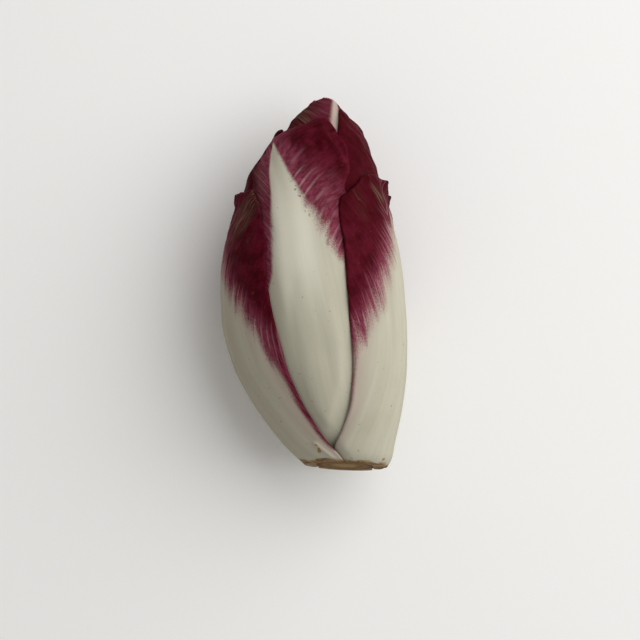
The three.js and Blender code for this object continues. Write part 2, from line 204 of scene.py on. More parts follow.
@dataclass(frozen=True)
class HeadForm:
    """The outer form of the whole head, and the rays that run into it.

    A place is given by an angle round the axis in degrees, 0 facing up
    and rising to the right, a height along the outside in mm from the
    cut, and a depth in mm from the outside towards the core.
    """

    length: float = 130.0
    dome_share: float = 0.2
    thickness_share: float = 0.86
    core_start: float = 80.0
    cut_offset: float = 1.4
    cut_slope: float = 0.17
    cut_slant: float = -0.043
    cut_fade: float = 12.0
    lift: float = 26.6
    shift: tuple[float, float] = (-0.08, 0.13)
    centre: Stations = (
        (0, 10.9), (3, 10.4), (9, 8.6), (23, 4.9), (38, 1.9), (52, 0.1), (65, -0.6),
        (76, -0.9), (96, -0.4), (104, 0.1), (116, 2.0), (126, 3.1), (130, 3.8),
    )
    half_width: Stations = (
        (0, 13.9), (3, 15.9), (9, 18.9), (23, 25.5), (38, 30.1), (52, 31.8), (65, 31.5),
        (76, 30.4), (87, 28.2), (96, 25.6), (104, 22.4), (110, 19.2),
        (116, 15.8), (121, 11.6), (126, 7.0), (130, 0.0),
    )
    stem: Stations = (
        (0, 9.8), (12, 9.0), (25, 7.6), (40, 6.6), (60, 7.0), (80, 6.2),
        (96, 4.0), (106, 1.2), (109, 0.0),
    )

    @property
    def full_height(self) -> float:
        """The height along the outside at which the head closes."""
        return 2.0 * self.length / (2.0 - self.dome_share)

    @property
    def dome_height(self) -> float:
        """The height above which the outside turns in to close."""
        return (1.0 - self.dome_share) * self.full_height

    @property
    def dome_bend(self) -> float:
        """How fast the outside turns in above it, as a parabola's factor."""
        return 1.0 / (2.0 * self.dome_share * self.full_height)

    @property
    def stem_top(self) -> float:
        """The height at which the stem's bud closes."""
        return self.stem[-1][0]

    def along(self, height: Array) -> Array:
        """Distance from the cut along the axis: the height, then a parabola.

        Args:
            height: Millimetres along the outside from the cut.

        Returns:
            Distances in mm from the cut.
        """
        left = np.maximum(self.full_height - height, 0.0)
        dome = self.length - self.dome_bend * left**2
        return np.where(height <= self.dome_height, height, dome)

    def height_at(self, along: float) -> float:
        """The height along the outside of a station along the axis.

        Args:
            along: Distance in mm from the cut along the axis.

        Returns:
            The height in mm.
        """
        if along <= self.dome_height:
            return float(along)
        left = max(self.length - along, 0.0)
        return float(self.full_height - np.sqrt(left / self.dome_bend))

    def _read(self, stations: Stations, height: Array) -> Array:
        """Read a curve that is stated by distance along the axis."""
        lifted = tuple((self.height_at(s), v) for s, v in stations)
        return through(lifted, height)

    def radius(self, height: Array) -> Array:
        """Half the head's width at a height."""
        return self._read(self.half_width, height)

    def inward(self, angle: Array, height: Array) -> Array:
        """The ray from the outside to the core line, as a vector in mm.

        The core line's points fall behind near the tip, so that the rays
        fan out there like those of a dome.

        Args:
            angle: Degrees round the axis.
            height: Millimetres along the outside from the cut.

        Returns:
            The rays, with the three coordinates last.
        """
        turn = np.radians(angle)
        wide = self.radius(height)
        beyond = np.maximum(self.along(height) - self.core_start, 0.0)
        fan = beyond**2 / (2.0 * (self.length - self.core_start))
        down = -wide * self.thickness_share * np.cos(turn)
        return np.stack([-wide * np.sin(turn), -fan, down], -1)

    def reach(self, angle: Array, height: Array) -> Array:
        """The depth at which a ray meets the core line."""
        return np.maximum(np.linalg.norm(self.inward(angle, height), axis=-1), LEAST_REACH)

    def place(self, angle: Array, height: Array, depth: Array) -> Array:
        """Turn angle, height and depth into points in mm.

        Args:
            angle: Degrees round the axis.
            height: Millimetres along the outside from the cut.
            depth: Millimetres from the outside along the ray.

        Returns:
            An array of points, with the three coordinates last.
        """
        angle, height, depth = np.broadcast_arrays(angle, height, depth)
        inward = self.inward(angle, height)
        sideways = self._read(self.centre, height) - inward[..., 0]
        outer = np.stack(
            [sideways, self.along(height) - self.length / 2.0, -inward[..., 2]], -1
        )
        point = outer + inward * (depth / self.reach(angle, height))[..., None]
        fade = np.clip(1.0 - height / self.cut_fade, 0.0, 1.0) ** 2
        aside = point[..., 0] - self.centre[0][1]
        lean = self.cut_offset + self.cut_slope * point[..., 2] + self.cut_slant * aside
        point[..., 1] += lean * fade
        return point + np.array([*self.shift, self.lift])


class Crowding:
    """How much of the head is already taken, as a depth at every place.

    The field is a grid over angle and height. It starts at nothing, and
    each leaf that is laid pushes it in to the leaf's inner face.
    """

    def __init__(self, form: HeadForm, columns: int = 360, rows: int = 241) -> None:
        """Start an empty field over the whole outside of the form.

        Args:
            form: The head's form.
            columns: Number of cells round it.
            rows: Number of stations up it.
        """
        self.form = form
        self.columns = columns
        self.rows = rows
        self.angles = np.arange(columns) * 360.0 / columns - 180.0
        self.heights = np.linspace(0.0, form.full_height, rows)
        self.taken = np.zeros((columns, rows))
        self.resting = np.zeros((columns, rows))

    def _widest(self, grid: Array, reach: int, axis: int) -> Array:
        """The largest value within reach cells, along one axis.

        Args:
            grid: The values.
            reach: How many cells to either side.
            axis: 0 for round the head, 1 for up it.

        Returns:
            The grid of largest values.
        """
        out = grid.copy()
        for step in range(1, reach + 1):
            for way in (step, -step):
                out = np.maximum(out, self._shift(grid, way, axis))
        return out

    def _shift(self, grid: Array, way: int, axis: int) -> Array:
        """Move a grid by some cells, round in angle and held in height.

        Args:
            grid: The values.
            way: How many cells to move by.
            axis: 0 for round the head, 1 for up it.

        Returns:
            The moved grid.
        """
        if axis == 0:
            return np.roll(grid, way, axis=0)
        rows = np.clip(np.arange(self.rows) - way, 0, self.rows - 1)
        return grid[:, rows]

    def _average(self, grid: Array, reach: int, axis: int) -> Array:
        """The mean of the values within reach cells, along one axis.

        Args:
            grid: The values.
            reach: How many cells to either side.
            axis: 0 for round the head, 1 for up it.

        Returns:
            The grid of means.
        """
        total = grid.copy()
        for step in range(1, reach + 1):
            total = total + self._shift(grid, step, axis) + self._shift(grid, -step, axis)
        return total / (2 * reach + 1)

    def settle(self, across: int = 6, along: int = 6) -> None:
        """Work out the depth that the next leaf can lie at.

        The field is spread by a reach and then averaged twice over half of
        it, so the result is smooth and nowhere shallower than what is taken.

        Args:
            across: The reach in cells round the head.
            along: The reach in cells up the head.
        """
        grid = self.taken
        for reach, axis in ((across, 0), (along, 1)):
            grid = self._widest(grid, reach, axis)
            for _ in range(2):
                grid = self._average(grid, reach // 2, axis)
        self.resting = grid

    def rest_at(self, angle: Array, height: Array) -> Array:
        """Read the resting depth between the cells, by straight steps.

        Args:
            angle: Degrees round the axis.
            height: Millimetres along the outside from the cut.

        Returns:
            Depths in mm.
        """
        across = (angle + 180.0) * self.columns / 360.0
        along = np.clip(height / self.form.full_height, 0.0, 1.0) * (self.rows - 1)
        low_a = np.floor(across).astype(int)
        low_h = np.minimum(along.astype(int), self.rows - 2)
        part_a, part_h = across - low_a, along - low_h
        first, second = low_a % self.columns, (low_a + 1) % self.columns
        near = self.resting[first, low_h] * (1 - part_a) + self.resting[second, low_h] * part_a
        far = self.resting[first, low_h + 1] * (1 - part_a)
        far = far + self.resting[second, low_h + 1] * part_a
        return near * (1 - part_h) + far * part_h


@dataclass(frozen=True)
class Blotch:
    """A long patch on a leaf, given by its centre, size, turn and strength."""

    sideways: float
    height: float
    half_wide: float
    half_long: float
    turn: float = 0.0
    strength: float = 1.0

    def cover(self, sideways: Array, height: Array) -> Array:
        """How much of the patch covers each place: 1 inside, fading out.

        Args:
            sideways: Distance from the midrib in mm.
            height: Height along the head in mm.

        Returns:
            The share covered, times the strength.
        """
        turn = np.radians(self.turn)
        x, y = sideways - self.sideways, height - self.height
        across = (x * np.cos(turn) - y * np.sin(turn)) / self.half_wide
        along = (x * np.sin(turn) + y * np.cos(turn)) / self.half_long
        return self.strength * np.exp(-((across**2 + along**2) ** BLOTCH_SHARPNESS))


@dataclass(frozen=True)
class Crease:
    """A ridge, or a groove where its rise is negative, along a leaf.

    Its angle round the head is stated by height, and it dies out over a
    length in mm past the first and the last of those heights.
    """

    angle: Stations
    rise: float
    half_wide: float
    fading: float = 8.0

    def lift(self, angle: Array, height: Array, radius: Array) -> Array:
        """How far the crease lifts each place, in mm.

        Args:
            angle: Degrees round the axis.
            height: Millimetres along the outside from the cut.
            radius: Half the head's width there in mm.

        Returns:
            Heights in mm, negative in a groove.
        """
        away = np.radians(angle - through(self.angle, height)) * radius
        first, last = self.angle[0][0], self.angle[-1][0]
        rising = ease((height - first) / self.fading + 1.0)
        falling = ease((last - height) / self.fading + 1.0)
        return self.rise * rising * falling * np.exp(-((away / self.half_wide) ** 2))


@dataclass(frozen=True)
class Unevenness:
    """Random swellings of a height, width and length in mm."""

    rise: float
    wide: float
    long: float
    draw: int

    def lift(self, across: Array, along: Array, seed: int) -> Array:
        """How far the swellings lift each place, in mm."""
        return self.rise * ripples(across / self.wide, along / self.long, seed + self.draw)


FOLDS = Unevenness(rise=0.14, wide=9.0, long=70.0, draw=1)
GROOVES = Unevenness(rise=0.06, wide=4.0, long=40.0, draw=2)
CRINKLES = Unevenness(rise=0.13, wide=6.0, long=8.0, draw=3)


def even(value: float) -> Stations:
    """The same value at every height."""
    return ((0.0, value), (1.0, value))


class Slot(Enum):
    """The record's material slots."""

    OUTER_LEAF = "outer_leaf"
    INNER_LEAF = "inner_leaf"
    STEM = "stem"


@dataclass(frozen=True)
class LeafPlan:
    """The shape and colouring of one leaf, in degrees and mm.

    By height: the midrib's angle, the left and right half's width, on each
    side how far from the midrib the purple begins, how far it comes in from
    the side edges (margin), how far its edge wanders (feather), how strong
    its pale veins (lines) are, and how strong the painted shade on its purple
    is. By share across the leaf, from -1 to 1: the crown, which is the upper
    edge's height, and the curl, which is how far that edge turns out. Some
    patches lay painted light or painted shade on the flesh; others redden the
    purple (rosy), dust it (pale) and spot it with brown (specks, scars).
    """

    name: str
    middle: Stations
    left: Stations
    right: Stations
    crown: Stations
    slot: Slot = Slot.INNER_LEAF
    foot: float = 0.0
    rib: float = 6.2
    rib_reach: float = 11.0
    blade: float = 1.4
    edge: float = 0.5
    bulge: float = 0.7
    flare: float = 0.6
    curl: Stations = ((-1, 0.0), (1, 0.0))
    ruffle: float = 0.2
    ruffle_turns: float = 9.0
    seed: float = 0.0
    blush_left: Stations = ((0, 40), (40, 32), (60, 18), (85, 7), (105, 0))
    blush_right: Stations = ((0, 40), (40, 32), (60, 18), (85, 7), (105, 0))
    margin: Stations = ((0, 0.8), (30, 1.6))
    crest: float = 2.2
    feather: Stations = ((0, 2.0), (50, 8.0), (80, 7.0), (105, 2.0))
    left_feather: float = 1.0
    softness: float = 0.5
    tint: float = 0.45
    fanned: bool = False
    vein_bend: float = 0.0027
    lines: Stations = even(0.3)
    left_lines: float = 1.0
    # Painted shade on the purple, by height.
    painted_shade: Stations = even(0.0)
    creases: tuple[Crease, ...] = ()
    # Patches of painted light (above 0) and painted shade (below 0) on the flesh.
    tone: tuple[Blotch, ...] = ()
    rosy: tuple[Blotch, ...] = ()
    pale: tuple[Blotch, ...] = ()
    specks: tuple[Blotch, ...] = ()
    scars: tuple[Blotch, ...] = ()
    across: int = 132
    along: int = 190


@dataclass
class Sheet:
    """One leaf's grid: every quantity that is known at each of its points."""

    share: Array
    height: Array
    sideways: Array
    outer: Array
    inner: Array
    blush: Array


@dataclass
class Leaf:
    """A leaf worked out from its plan on the head's form and crowding.

    Its methods take a share across the leaf, from -1 at its left edge to 1
    at its right one, and a height along the head in mm.
    """

    plan: LeafPlan
    form: HeadForm
    crowding: Crowding
    gap: float = 0.2
    least: float = 0.62
    stem_gap: float = 0.1

    def side(self, share: Array, height: Array) -> Array:
        """Width in degrees of the half of the leaf that a place lies on."""
        plan = self.plan
        return np.where(share < 0, through(plan.left, height), through(plan.right, height))

    def half_mm(self, share: Array, height: Array) -> Array:
        """Width in mm of the half of the leaf that a place lies on."""
        return np.radians(self.side(share, height)) * self.form.radius(height)

    def share_at(self, angle: Array, height: Array) -> Array:
        """The share across the leaf, -1 to 1, of a place on the head."""
        away = (angle - through(self.plan.middle, height) + 180.0) % 360.0 - 180.0
        return away / self.side(away, height)

    def angle(self, share: Array, height: Array) -> Array:
        """The angle round the head of a share across the leaf."""
        return through(self.plan.middle, height) + share * self.side(share, height)

    def sideways(self, share: Array, height: Array) -> Array:
        """Distance from the midrib along the leaf, in mm."""
        return np.radians(share * self.side(share, height)) * self.form.radius(height)

    def from_side(self, share: Array, height: Array) -> Array:
        """Distance from the nearer side edge along the leaf, in mm."""
        return (1 - np.abs(share)) * self.half_mm(share, height)

    def top(self, share: Array) -> Array:
        """The height of the leaf's upper edge at a share across it."""
        return through(self.plan.crown, share)

    def risen(self, share: Array, height: Array) -> Array:
        """The height as a share of the leaf's, from 0 to 1."""
        return np.clip(height / self.top(share), 0.0, 1.0)

    def thickness(self, share: Array, height: Array) -> Array:
        """The leaf's thickness: a thin blade, and a bell for the midrib.

        The rib narrows and thins with height, and the leaf thins towards
        its two side edges and its upper edge.

        Args:
            share: Share across the leaf, -1 to 1.
            height: Height along the head in mm.

        Returns:
            Thicknesses in mm.
        """
        plan, risen = self.plan, self.risen(share, height)
        reach = plan.rib_reach * (1.0 - RIB_NARROWING * risen)
        bell = np.exp(-np.abs(self.sideways(share, height) / reach) ** RIB_ROUNDING)
        fleshy = plan.blade * (1.0 + FOOT_FLESH * (1.0 - risen) ** 2)
        thick = fleshy + (plan.rib - plan.blade) * (1.0 - RIB_THINNING * risen) * bell
        to_side = plan.edge + (1 - plan.edge) * ease((1 - np.abs(share)) / EDGE_TAPER)
        rounding = ease((self.top(share) - height) / TOP_TAPER)
        to_top = TOP_SHARE + (1 - TOP_SHARE) * rounding
        return np.maximum(thick * to_side * to_top, self.least)

    def bareness(self, share: Array, height: Array) -> Array:
        """1 where nothing lies over the leaf, and 0 where it is covered."""
        rest = self.crowding.rest_at(self.angle(share, height), height)
        return np.exp(-((rest / BARE_DEPTH) ** 2))

    def outer_depth(self, share: Array, height: Array, loose: bool) -> Array:
        """The depth of the outer face.

        The leaf rests under what is laid, and its midrib swells out. Where
        nothing covers it, its upper edge flares and its side edges wave.

        Args:
            share: Share across the leaf, -1 to 1.
            height: Height along the head in mm.
            loose: Whether the upper edge flares and ruffles.

        Returns:
            Depths in mm.
        """
        plan, risen = self.plan, self.risen(share, height)
        rest = self.crowding.rest_at(self.angle(share, height), height)
        bare = self.bareness(share, height)
        reach = plan.rib_reach * (SWELL_REACH - SWELL_NARROWING * risen)
        bell = np.exp(-((self.sideways(share, height) / reach) ** 2))
        depth = rest - plan.bulge * bell * (1.0 - SWELL_FADING * risen) * bare
        if not loose:
            return depth
        below = self.top(share) - height
        wave = plan.ruffle * np.sin(plan.ruffle_turns * share * np.pi + plan.seed)
        flare = ease(1.0 - below / FLARE_REACH) * (plan.flare + wave)
        curl = ease(1.0 - below / CURL_REACH) ** 2 * through(plan.curl, share)
        ripple = np.sin(height * RIPPLE_PITCH + plan.seed * 2.0 + RIPPLE_LEAN * share)
        edge = np.abs(share) ** RIPPLE_POWER * plan.ruffle * RIPPLE_SHARE * ripple
        return depth - bare * (flare + curl + edge)

    def lay(self) -> None:
        """Push the crowding in to this leaf's inner face, plus a gap."""
        crowding = self.crowding
        angle, height = np.meshgrid(crowding.angles, crowding.heights, indexing="ij")
        share = self.share_at(angle, height)
        held = np.clip(share, -1.0, 1.0)
        covers = (np.abs(share) <= 1.0) & (height <= self.top(held))
        inner = self.outer_depth(held, height, False) + self.thickness(held, height) + self.gap
        crowding.taken = np.where(covers, np.maximum(inner, crowding.taken), crowding.taken)

    def beyond_rib(self, share: Array, height: Array) -> Array:
        """Distance in mm outside the white rib; negative on it.

        Args:
            share: Share across the leaf, -1 to 1.
            height: Height along the head in mm.

        Returns:
            Distances in mm.
        """
        u = self.sideways(share, height)
        on_left = -u - through(self.plan.blush_left, height)
        return np.maximum(on_left, u - through(self.plan.blush_right, height))

    def blush(self, share: Array, height: Array) -> Array:
        """How far inside the purple a place lies, in mm; negative on white.

        The purple begins at a distance from the midrib that is stated by
        height for each side, and also follows the leaf's free edges.

        Args:
            share: Share across the leaf, -1 to 1.
            height: Height along the head in mm.

        Returns:
            Distances in mm.
        """
        on_margin = through(self.plan.margin, height) - self.from_side(share, height)
        on_crest = self.plan.crest - (self.top(share) - height)
        return np.maximum.reduce([self.beyond_rib(share, height), on_margin, on_crest])

    def vein(self, share: Array, height: Array) -> Array:
        """Tells the veins apart: it stays the same along each of them, in mm.

        On most leaves the veins run up the leaf, and their distance from
        the midrib grows as the square of the height. On a fanned leaf they
        leave the edge of the white rib and bend outwards: at a height d
        above its start a vein is FAN_RISE d + FAN_BEND d^2 beyond that edge.

        Args:
            share: Share across the leaf, -1 to 1.
            height: Height along the head in mm.

        Returns:
            A number in mm for each place.
        """
        plan = self.plan
        if not plan.fanned:
            return np.abs(self.sideways(share, height)) - plan.vein_bend * height**2
        beyond = self.beyond_rib(share, height)
        root = np.sqrt(FAN_RISE_SQUARE + 4.0 * FAN_BEND * np.maximum(beyond, 0.0))
        bent = (root - FAN_RISE) / (2.0 * FAN_BEND)
        return FAN_SHARE * (height - np.where(beyond > 0, bent, beyond / FAN_RISE))

    def feather(self, share: Array, height: Array) -> Array:
        """How far the purple's edge wanders to and fro, in mm."""
        plan = self.plan
        return through(plan.feather, height) * np.where(share < 0, plan.left_feather, 1.0)

    def lines(self, share: Array, height: Array) -> Array:
        """How strongly pale veins show, by the height that a vein starts at.

        Args:
            share: Share across the leaf, -1 to 1.
            height: Height along the head in mm.

        Returns:
            Strengths from 0 to 1.
        """
        plan = self.plan
        start = self.vein(share, height) / FAN_SHARE if plan.fanned else height
        return through(plan.lines, start) * np.where(share < 0, plan.left_lines, 1.0)

    def turned(self, share: Array, height: Array) -> Array:
        """How strongly the upper edge is rolled outwards, from 0 to 1, which sets the painted
        shade on it.

        Args:
            share: Share across the leaf, -1 to 1.
            height: Height along the head in mm.

        Returns:
            Strengths from 0 to 1.
        """
        below = self.top(share) - height
        rolled = np.clip(through(self.plan.curl, share) / FULL_CURL, 0.0, 1.0)
        return ease(1.0 - below / ROLL_REACH) * rolled * self.bareness(share, height)

    def relief(self, share: Array, height: Array, blush: Array) -> Array:
        """Small swellings of the bare surface, in mm outwards.

        Shallow folds run along the fleshy white part. The purple blade is
        crinkled, more so towards its edge, and its veins stand in grooves.

        Args:
            share: Share across the leaf, -1 to 1.
            height: Height along the head in mm.
            blush: How far inside the purple each place lies, in mm.

        Returns:
            Heights of the swellings in mm.
        """
        seed = int(self.plan.seed * 10)
        u = self.sideways(share, height)
        purple = ease(blush / PURPLE_FADE + 0.5)
        folds = FOLDS.lift(u, height, seed)
        grooves = GROOVES.lift(self.vein(share, height), height, seed)
        near_top = ease(1.0 - (self.top(share) - height) / CRINKLE_REACH)
        crinkles = CRINKLES.lift(u, height, seed)
        crinkles = crinkles * (CRINKLE_BELOW + (1.0 - CRINKLE_BELOW) * near_top)
        angle, radius = self.angle(share, height), self.form.radius(height)
        creased = sum((c.lift(angle, height, radius) for c in self.plan.creases), 0.0)
        return folds * (1 - FOLD_FADING * purple) + (grooves + crinkles) * purple + creased

    def sheet(self) -> Sheet:
        """Work the leaf out on its grid, with rounded free edges.

        Rows of points crowd towards the free edges. There the outer face
        comes down to the inner one along a circle: the thickness is taken
        times the root of 1 - (1 - d/r)^2 at a distance d from the edge.

        Returns:
            The grid, its places in mm.
        """
        plan, form = self.plan, self.form
        share, rise = np.meshgrid(
            crowded(plan.across, SIDE_RIM, both=True),
            (crowded(plan.along, TOP_RIM, both=False) + 1.0) / 2.0,
            indexing="ij",
        )
        height = plan.foot + (self.top(share) - plan.foot) * rise
        angle = self.angle(share, height)
        blush = self.blush(share, height)
        outer = self.outer_depth(share, height, True)
        inner = outer + self.thickness(share, height)
        lift = self.relief(share, height, blush) * self.bareness(share, height)
        limit = form.reach(angle, height) - through(form.stem, height) - self.stem_gap
        inner = np.minimum(inner - lift, limit)
        outer = np.minimum(outer - lift, inner - LEAST_CORE)
        radius = np.minimum(inner - outer, EDGE_RADIUS)
        round_off = np.ones_like(share)
        for away in (self.from_side(share, height), self.top(share) - height):
            left = 1.0 - np.clip(away / radius, 0.0, 1.0)
            round_off = round_off * np.sqrt(np.maximum(1.0 - left**2, 0.0))
        return Sheet(
            share=share,
            height=height,
            sideways=self.sideways(share, height),
            outer=form.place(angle, height, inner - (inner - outer) * round_off),
            inner=form.place(angle, height, inner),
            blush=blush,
        )


def crowded(count: int, rim: float, both: bool) -> Array:
    """Positions from -1 to 1 that crowd towards one end or both.

    Args:
        count: Number of steps.
        rim: How much of the range each crowded end takes.
        both: Whether the start is crowded as well as the end.

    Returns:
        The positions, count + 1 of them.
    """
    ends = 1.0 - rim * np.array(RIM_STEPS)
    extra = len(ends) - 1
    if both:
        inside = np.linspace(-ends[0], ends[0], count + 1 - 2 * extra)
        return np.concatenate([-ends[:0:-1], inside, ends[1:]])
    return np.concatenate([np.linspace(-1.0, ends[0], count + 1 - extra), ends[1:]])


def shown_leaf_plans() -> tuple[LeafPlan, ...]:
    """The leaves that show from outside, from the outermost inwards.

    Returns:
        The plans, in the order in which the leaves are laid.
    """
    left = LeafPlan(
        name="outer_leaf_left",
        slot=Slot.OUTER_LEAF,
        middle=((0, -78), (40, -85), (70, -83), (90, -70), (97, -65)),
        left=((0, 50), (40, 66), (75, 62), (97, 42)),
        right=((0, 76), (8, 71), (10.6, 68.6), (14.4, 65.8), (23, 63), (45, 61), (62, 55),
               (76, 50), (85, 37), (97, 19)),
        edge=0.38,
        crown=((-1, 84), (-0.75, 91), (-0.57, 96.3), (-0.3, 96.6), (0, 96.5), (0.5, 97), (1, 92)),
        curl=((-1, 0), (-0.75, 0.1), (-0.58, 1.5), (-0.4, 0.3), (0, 0), (1, 0)),
        seed=0.4,
        blush_left=((0, 42), (40, 33), (52, 24), (62, 12), (69, 5), (75, 0), (81, -4), (96, -12)),
        blush_right=((0, 31), (14, 24), (23, 26), (31, 28), (39, 27.3), (46, 25.2), (52.6, 20.0),
                     (60, 12.8), (66, 5.6), (71, 1.4), (76, -1.6), (82, -5.0), (96, -12.0)),
        margin=((0, -2), (4.5, -1.2), (7, 0.5), (14, 1.2), (23, 1.7), (31, 2.8), (39, 5.8),
                (46, 8.2)),
        crest=2.6,
        feather=((0, 0.5), (23, 0.8), (35, 1.3), (45, 3), (54, 6), (66, 6.5), (80, 5), (96, 2)),
        vein_bend=0.0012,
        creases=(Crease(((2.0, -15.5), (5.6, -19.7), (9.0, -24.0)), 1.0, 1.3, 1.5),),
        # Painted shade over the flesh, on the side away from the light.
        tone=(Blotch(-6.0, 40.0, 30.0, 60.0, 0.0, -0.45),),
        lines=((0, 0.1), (30, 0.1), (50, 0.45), (150, 0.45)),
        pale=(Blotch(7.0, 88.0, 5.5, 10.0, 12.0, 0.65),),
        scars=(Blotch(18.4, 8.7, 0.5, 0.5), Blotch(16.6, 6.2, 0.5, 2.2, 52.0)),
    )
    right = LeafPlan(
        name="outer_leaf_right",
        slot=Slot.OUTER_LEAF,
        middle=((0, 70), (40, 82), (70, 80), (90, 68), (103, 60)),
        left=((0, 90), (5, 85), (7.4, 80.7), (11, 73.5), (13.7, 68.7), (18, 64), (24.8, 60.5),
              (38, 58.9), (49, 58.7), (67, 58), (81, 53), (92, 46), (101, 30), (104, 28)),
        right=((0, 54), (40, 66), (75, 62), (104, 40)),
        crown=((-1, 94), (-0.5, 101.5), (0, 102.5), (0.3, 100.8), (0.45, 100.3), (0.58, 96.5),
               (0.72, 95.8), (0.85, 91), (1, 86)),
        curl=((-1, 0), (0, 0), (0.2, 0.5), (0.42, 1.4), (0.57, 0.4), (0.7, 1.8), (0.85, 0.3),
              (1, 0)),
        flare=0.8,
        ruffle=0.4,
        ruffle_turns=5.0,
        seed=1.7,
        blush_left=((0, 42), (31, 30.6), (40, 30), (44, 29), (51, 25.6), (57, 20.2), (66, 15.0),
                    (74, 8.0), (81, 1.6), (86, -2.0), (91, -5.0), (96, -9.0)),
        blush_right=((0, 42), (40, 34), (57, 20), (66, 11), (75, 6), (85, 3.6), (91, 2), (96, -1)),
        margin=((0, -2), (14, -1.2), (22, 0), (30, 0.4), (38, 0.8), (46, 1.6)),
        # Painted shade over the top of the leaf.
        painted_shade=((0, 0.0), (78, 0.0), (92, 0.6), (110, 0.6)),
        crest=4.0,
        feather=((0, 0.5), (30, 0.8), (40, 2), (48, 5), (56, 7), (66, 7), (81, 6), (96, 3)),
        lines=even(0.45),
        pale=(Blotch(-2.2, 95.5, 1.8, 3.4, -25.0), Blotch(-14.5, 91.5, 2.6, 5.5, 10.0, 0.15)),
        scars=(Blotch(-3.9, 2.6, 0.6, 0.6),),
    )
    under = LeafPlan(
        name="outer_leaf_under",
        slot=Slot.OUTER_LEAF,
        middle=((0, 178), (70, 181), (110, 176)),
        left=((0, 62), (45, 76), (85, 68), (110, 48)),
        right=((0, 62), (45, 76), (85, 68), (110, 48)),
        crown=((-1, 90), (-0.5, 105), (0, 109), (0.5, 106), (1, 93)),
        seed=2.9,
        blush_left=((0, 42), (45, 30), (60, 22), (75, 13), (92, 5), (108, 0)),
        blush_right=((0, 42), (45, 29), (60, 20), (75, 12), (92, 5), (108, 0)),
    )
    front = LeafPlan(
        name="front_leaf",
        slot=Slot.OUTER_LEAF,
        middle=((0, 0), (41, 0), (76, -9), (94, -18), (104, -32), (111, -50), (116, -68),
                (123, -72)),
        left=((0, 36), (41, 60), (76, 60), (94, 45), (104, 36), (111, 27), (123, 22)),
        right=((0, 42), (41, 68), (76, 74), (88, 58), (96, 48), (104, 67), (111, 83),
               (117, 99), (123, 103)),
        crown=((-1, 106), (-0.5, 112), (0, 116), (0.25, 118.6), (0.5, 121.5), (0.7, 122.9),
               (0.86, 120.5), (1, 112)),
        rib=6.8,
        rib_reach=12.0,
        bulge=1.1,
        flare=0.5,
        seed=4.1,
        blush_left=((0, 40), (50, 22), (60, 15.2), (66, 11.6), (72, 9.9), (79, 8.9), (87.6, 7.4),
                    (98.7, 5.4), (105, 3.5), (111, 1.4), (114, -0.6)),
        blush_right=((0, 40), (50, 30), (60, 24), (67, 19), (71, 16.2), (75, 13.4), (80, 11.2),
                     (86, 8.4), (91.5, 5.4), (99.5, 3.5), (106, 2.5), (111, 1.0), (114, -0.6)),
        margin=((0, 0.3), (60, 1.0)),
        feather=((0, 2), (68, 2), (76, 3.5), (82, 4.5), (88, 3.5), (94, 1.5), (100, 0.6),
                 (114, 0.3)),
        left_feather=0.3,
        fanned=True,
        lines=((0, 0.3), (84, 0.35), (90, 0.5), (101, 0.5), (107, 0.05), (120, 0.0)),
        left_lines=0.5,
        rosy=(Blotch(14.0, 92.0, 8.5, 16.0, -25.0, 0.55), Blotch(-9.0, 84.0, 4.0, 14.0, 0.0, 0.5)),
        tint=0.1,
        creases=(
            Crease(((98, 31.0), (102, 29.4), (108.7, 23.0), (113.6, 13.6), (118, 2.0)), 0.9, 1.7),
            Crease(((103, 38.0), (109, 31.0), (115, 14.0)), -0.35, 1.2),
            Crease(((28, -14.0), (45, -14.0), (62, -12.3)), -0.3, 2.6),
            Crease(((40, 4.0), (55, 3.0), (75, -2.0)), -0.15, 3.0),
        ),
        # Painted light on the rib, where it faces the light.
        tone=(Blotch(-1.0, 80.0, 11.0, 26.0, 0.0, 0.75),),
        pale=(Blotch(-10.5, 101.0, 2.6, 7.0, 10.0, 0.4),),
        specks=(Blotch(4.6, 93.5, 1.3, 7.0, -14.0), Blotch(9.6, 85.5, 1.3, 3.0, -35.0)),
    )
    second_left = LeafPlan(
        name="second_leaf_left",
        # Painted shade over the whole of this tucked-in leaf.
        painted_shade=even(0.55),
        middle=((0, -128), (60, -124), (118, -112)),
        left=((0, 50), (60, 78), (118, 50)),
        right=((0, 40), (60, 70), (100, 60), (119, 31)),
        crown=((-1, 98), (-0.5, 112), (0, 117.5), (0.6, 119.5), (1, 118)),
        seed=5.2,
        blush_left=((0, 42), (60, 18), (80, 6), (90, 2), (98, -3)),
        blush_right=((0, 42), (60, 18), (80, 6), (90, 2), (98, -3)),
    )
    second_right = LeafPlan(
        name="second_leaf_right",
        # Painted shade over the whole of this tucked-in leaf.
        painted_shade=even(0.55),
        middle=((0, 128), (60, 124), (117, 108)),
        left=((0, 40), (60, 98), (96, 90), (117, 83)),
        right=((0, 50), (60, 78), (117, 50)),
        crown=((-1, 117), (-0.88, 123), (-0.75, 127), (-0.5, 130), (-0.32, 125), (-0.16, 119),
               (0, 117.5), (0.5, 111), (1, 98)),
        curl=((-1, 0), (-0.35, 0), (-0.18, 1.3), (0, 0.8), (0.3, 0), (1, 0)),
        flare=0.2,
        ruffle=0.1,
        seed=6.3,
        blush_left=((0, 42), (60, 18), (80, 6), (90, 2), (98, -3)),
        blush_right=((0, 42), (60, 18), (80, 6), (90, 2), (98, -3)),
    )
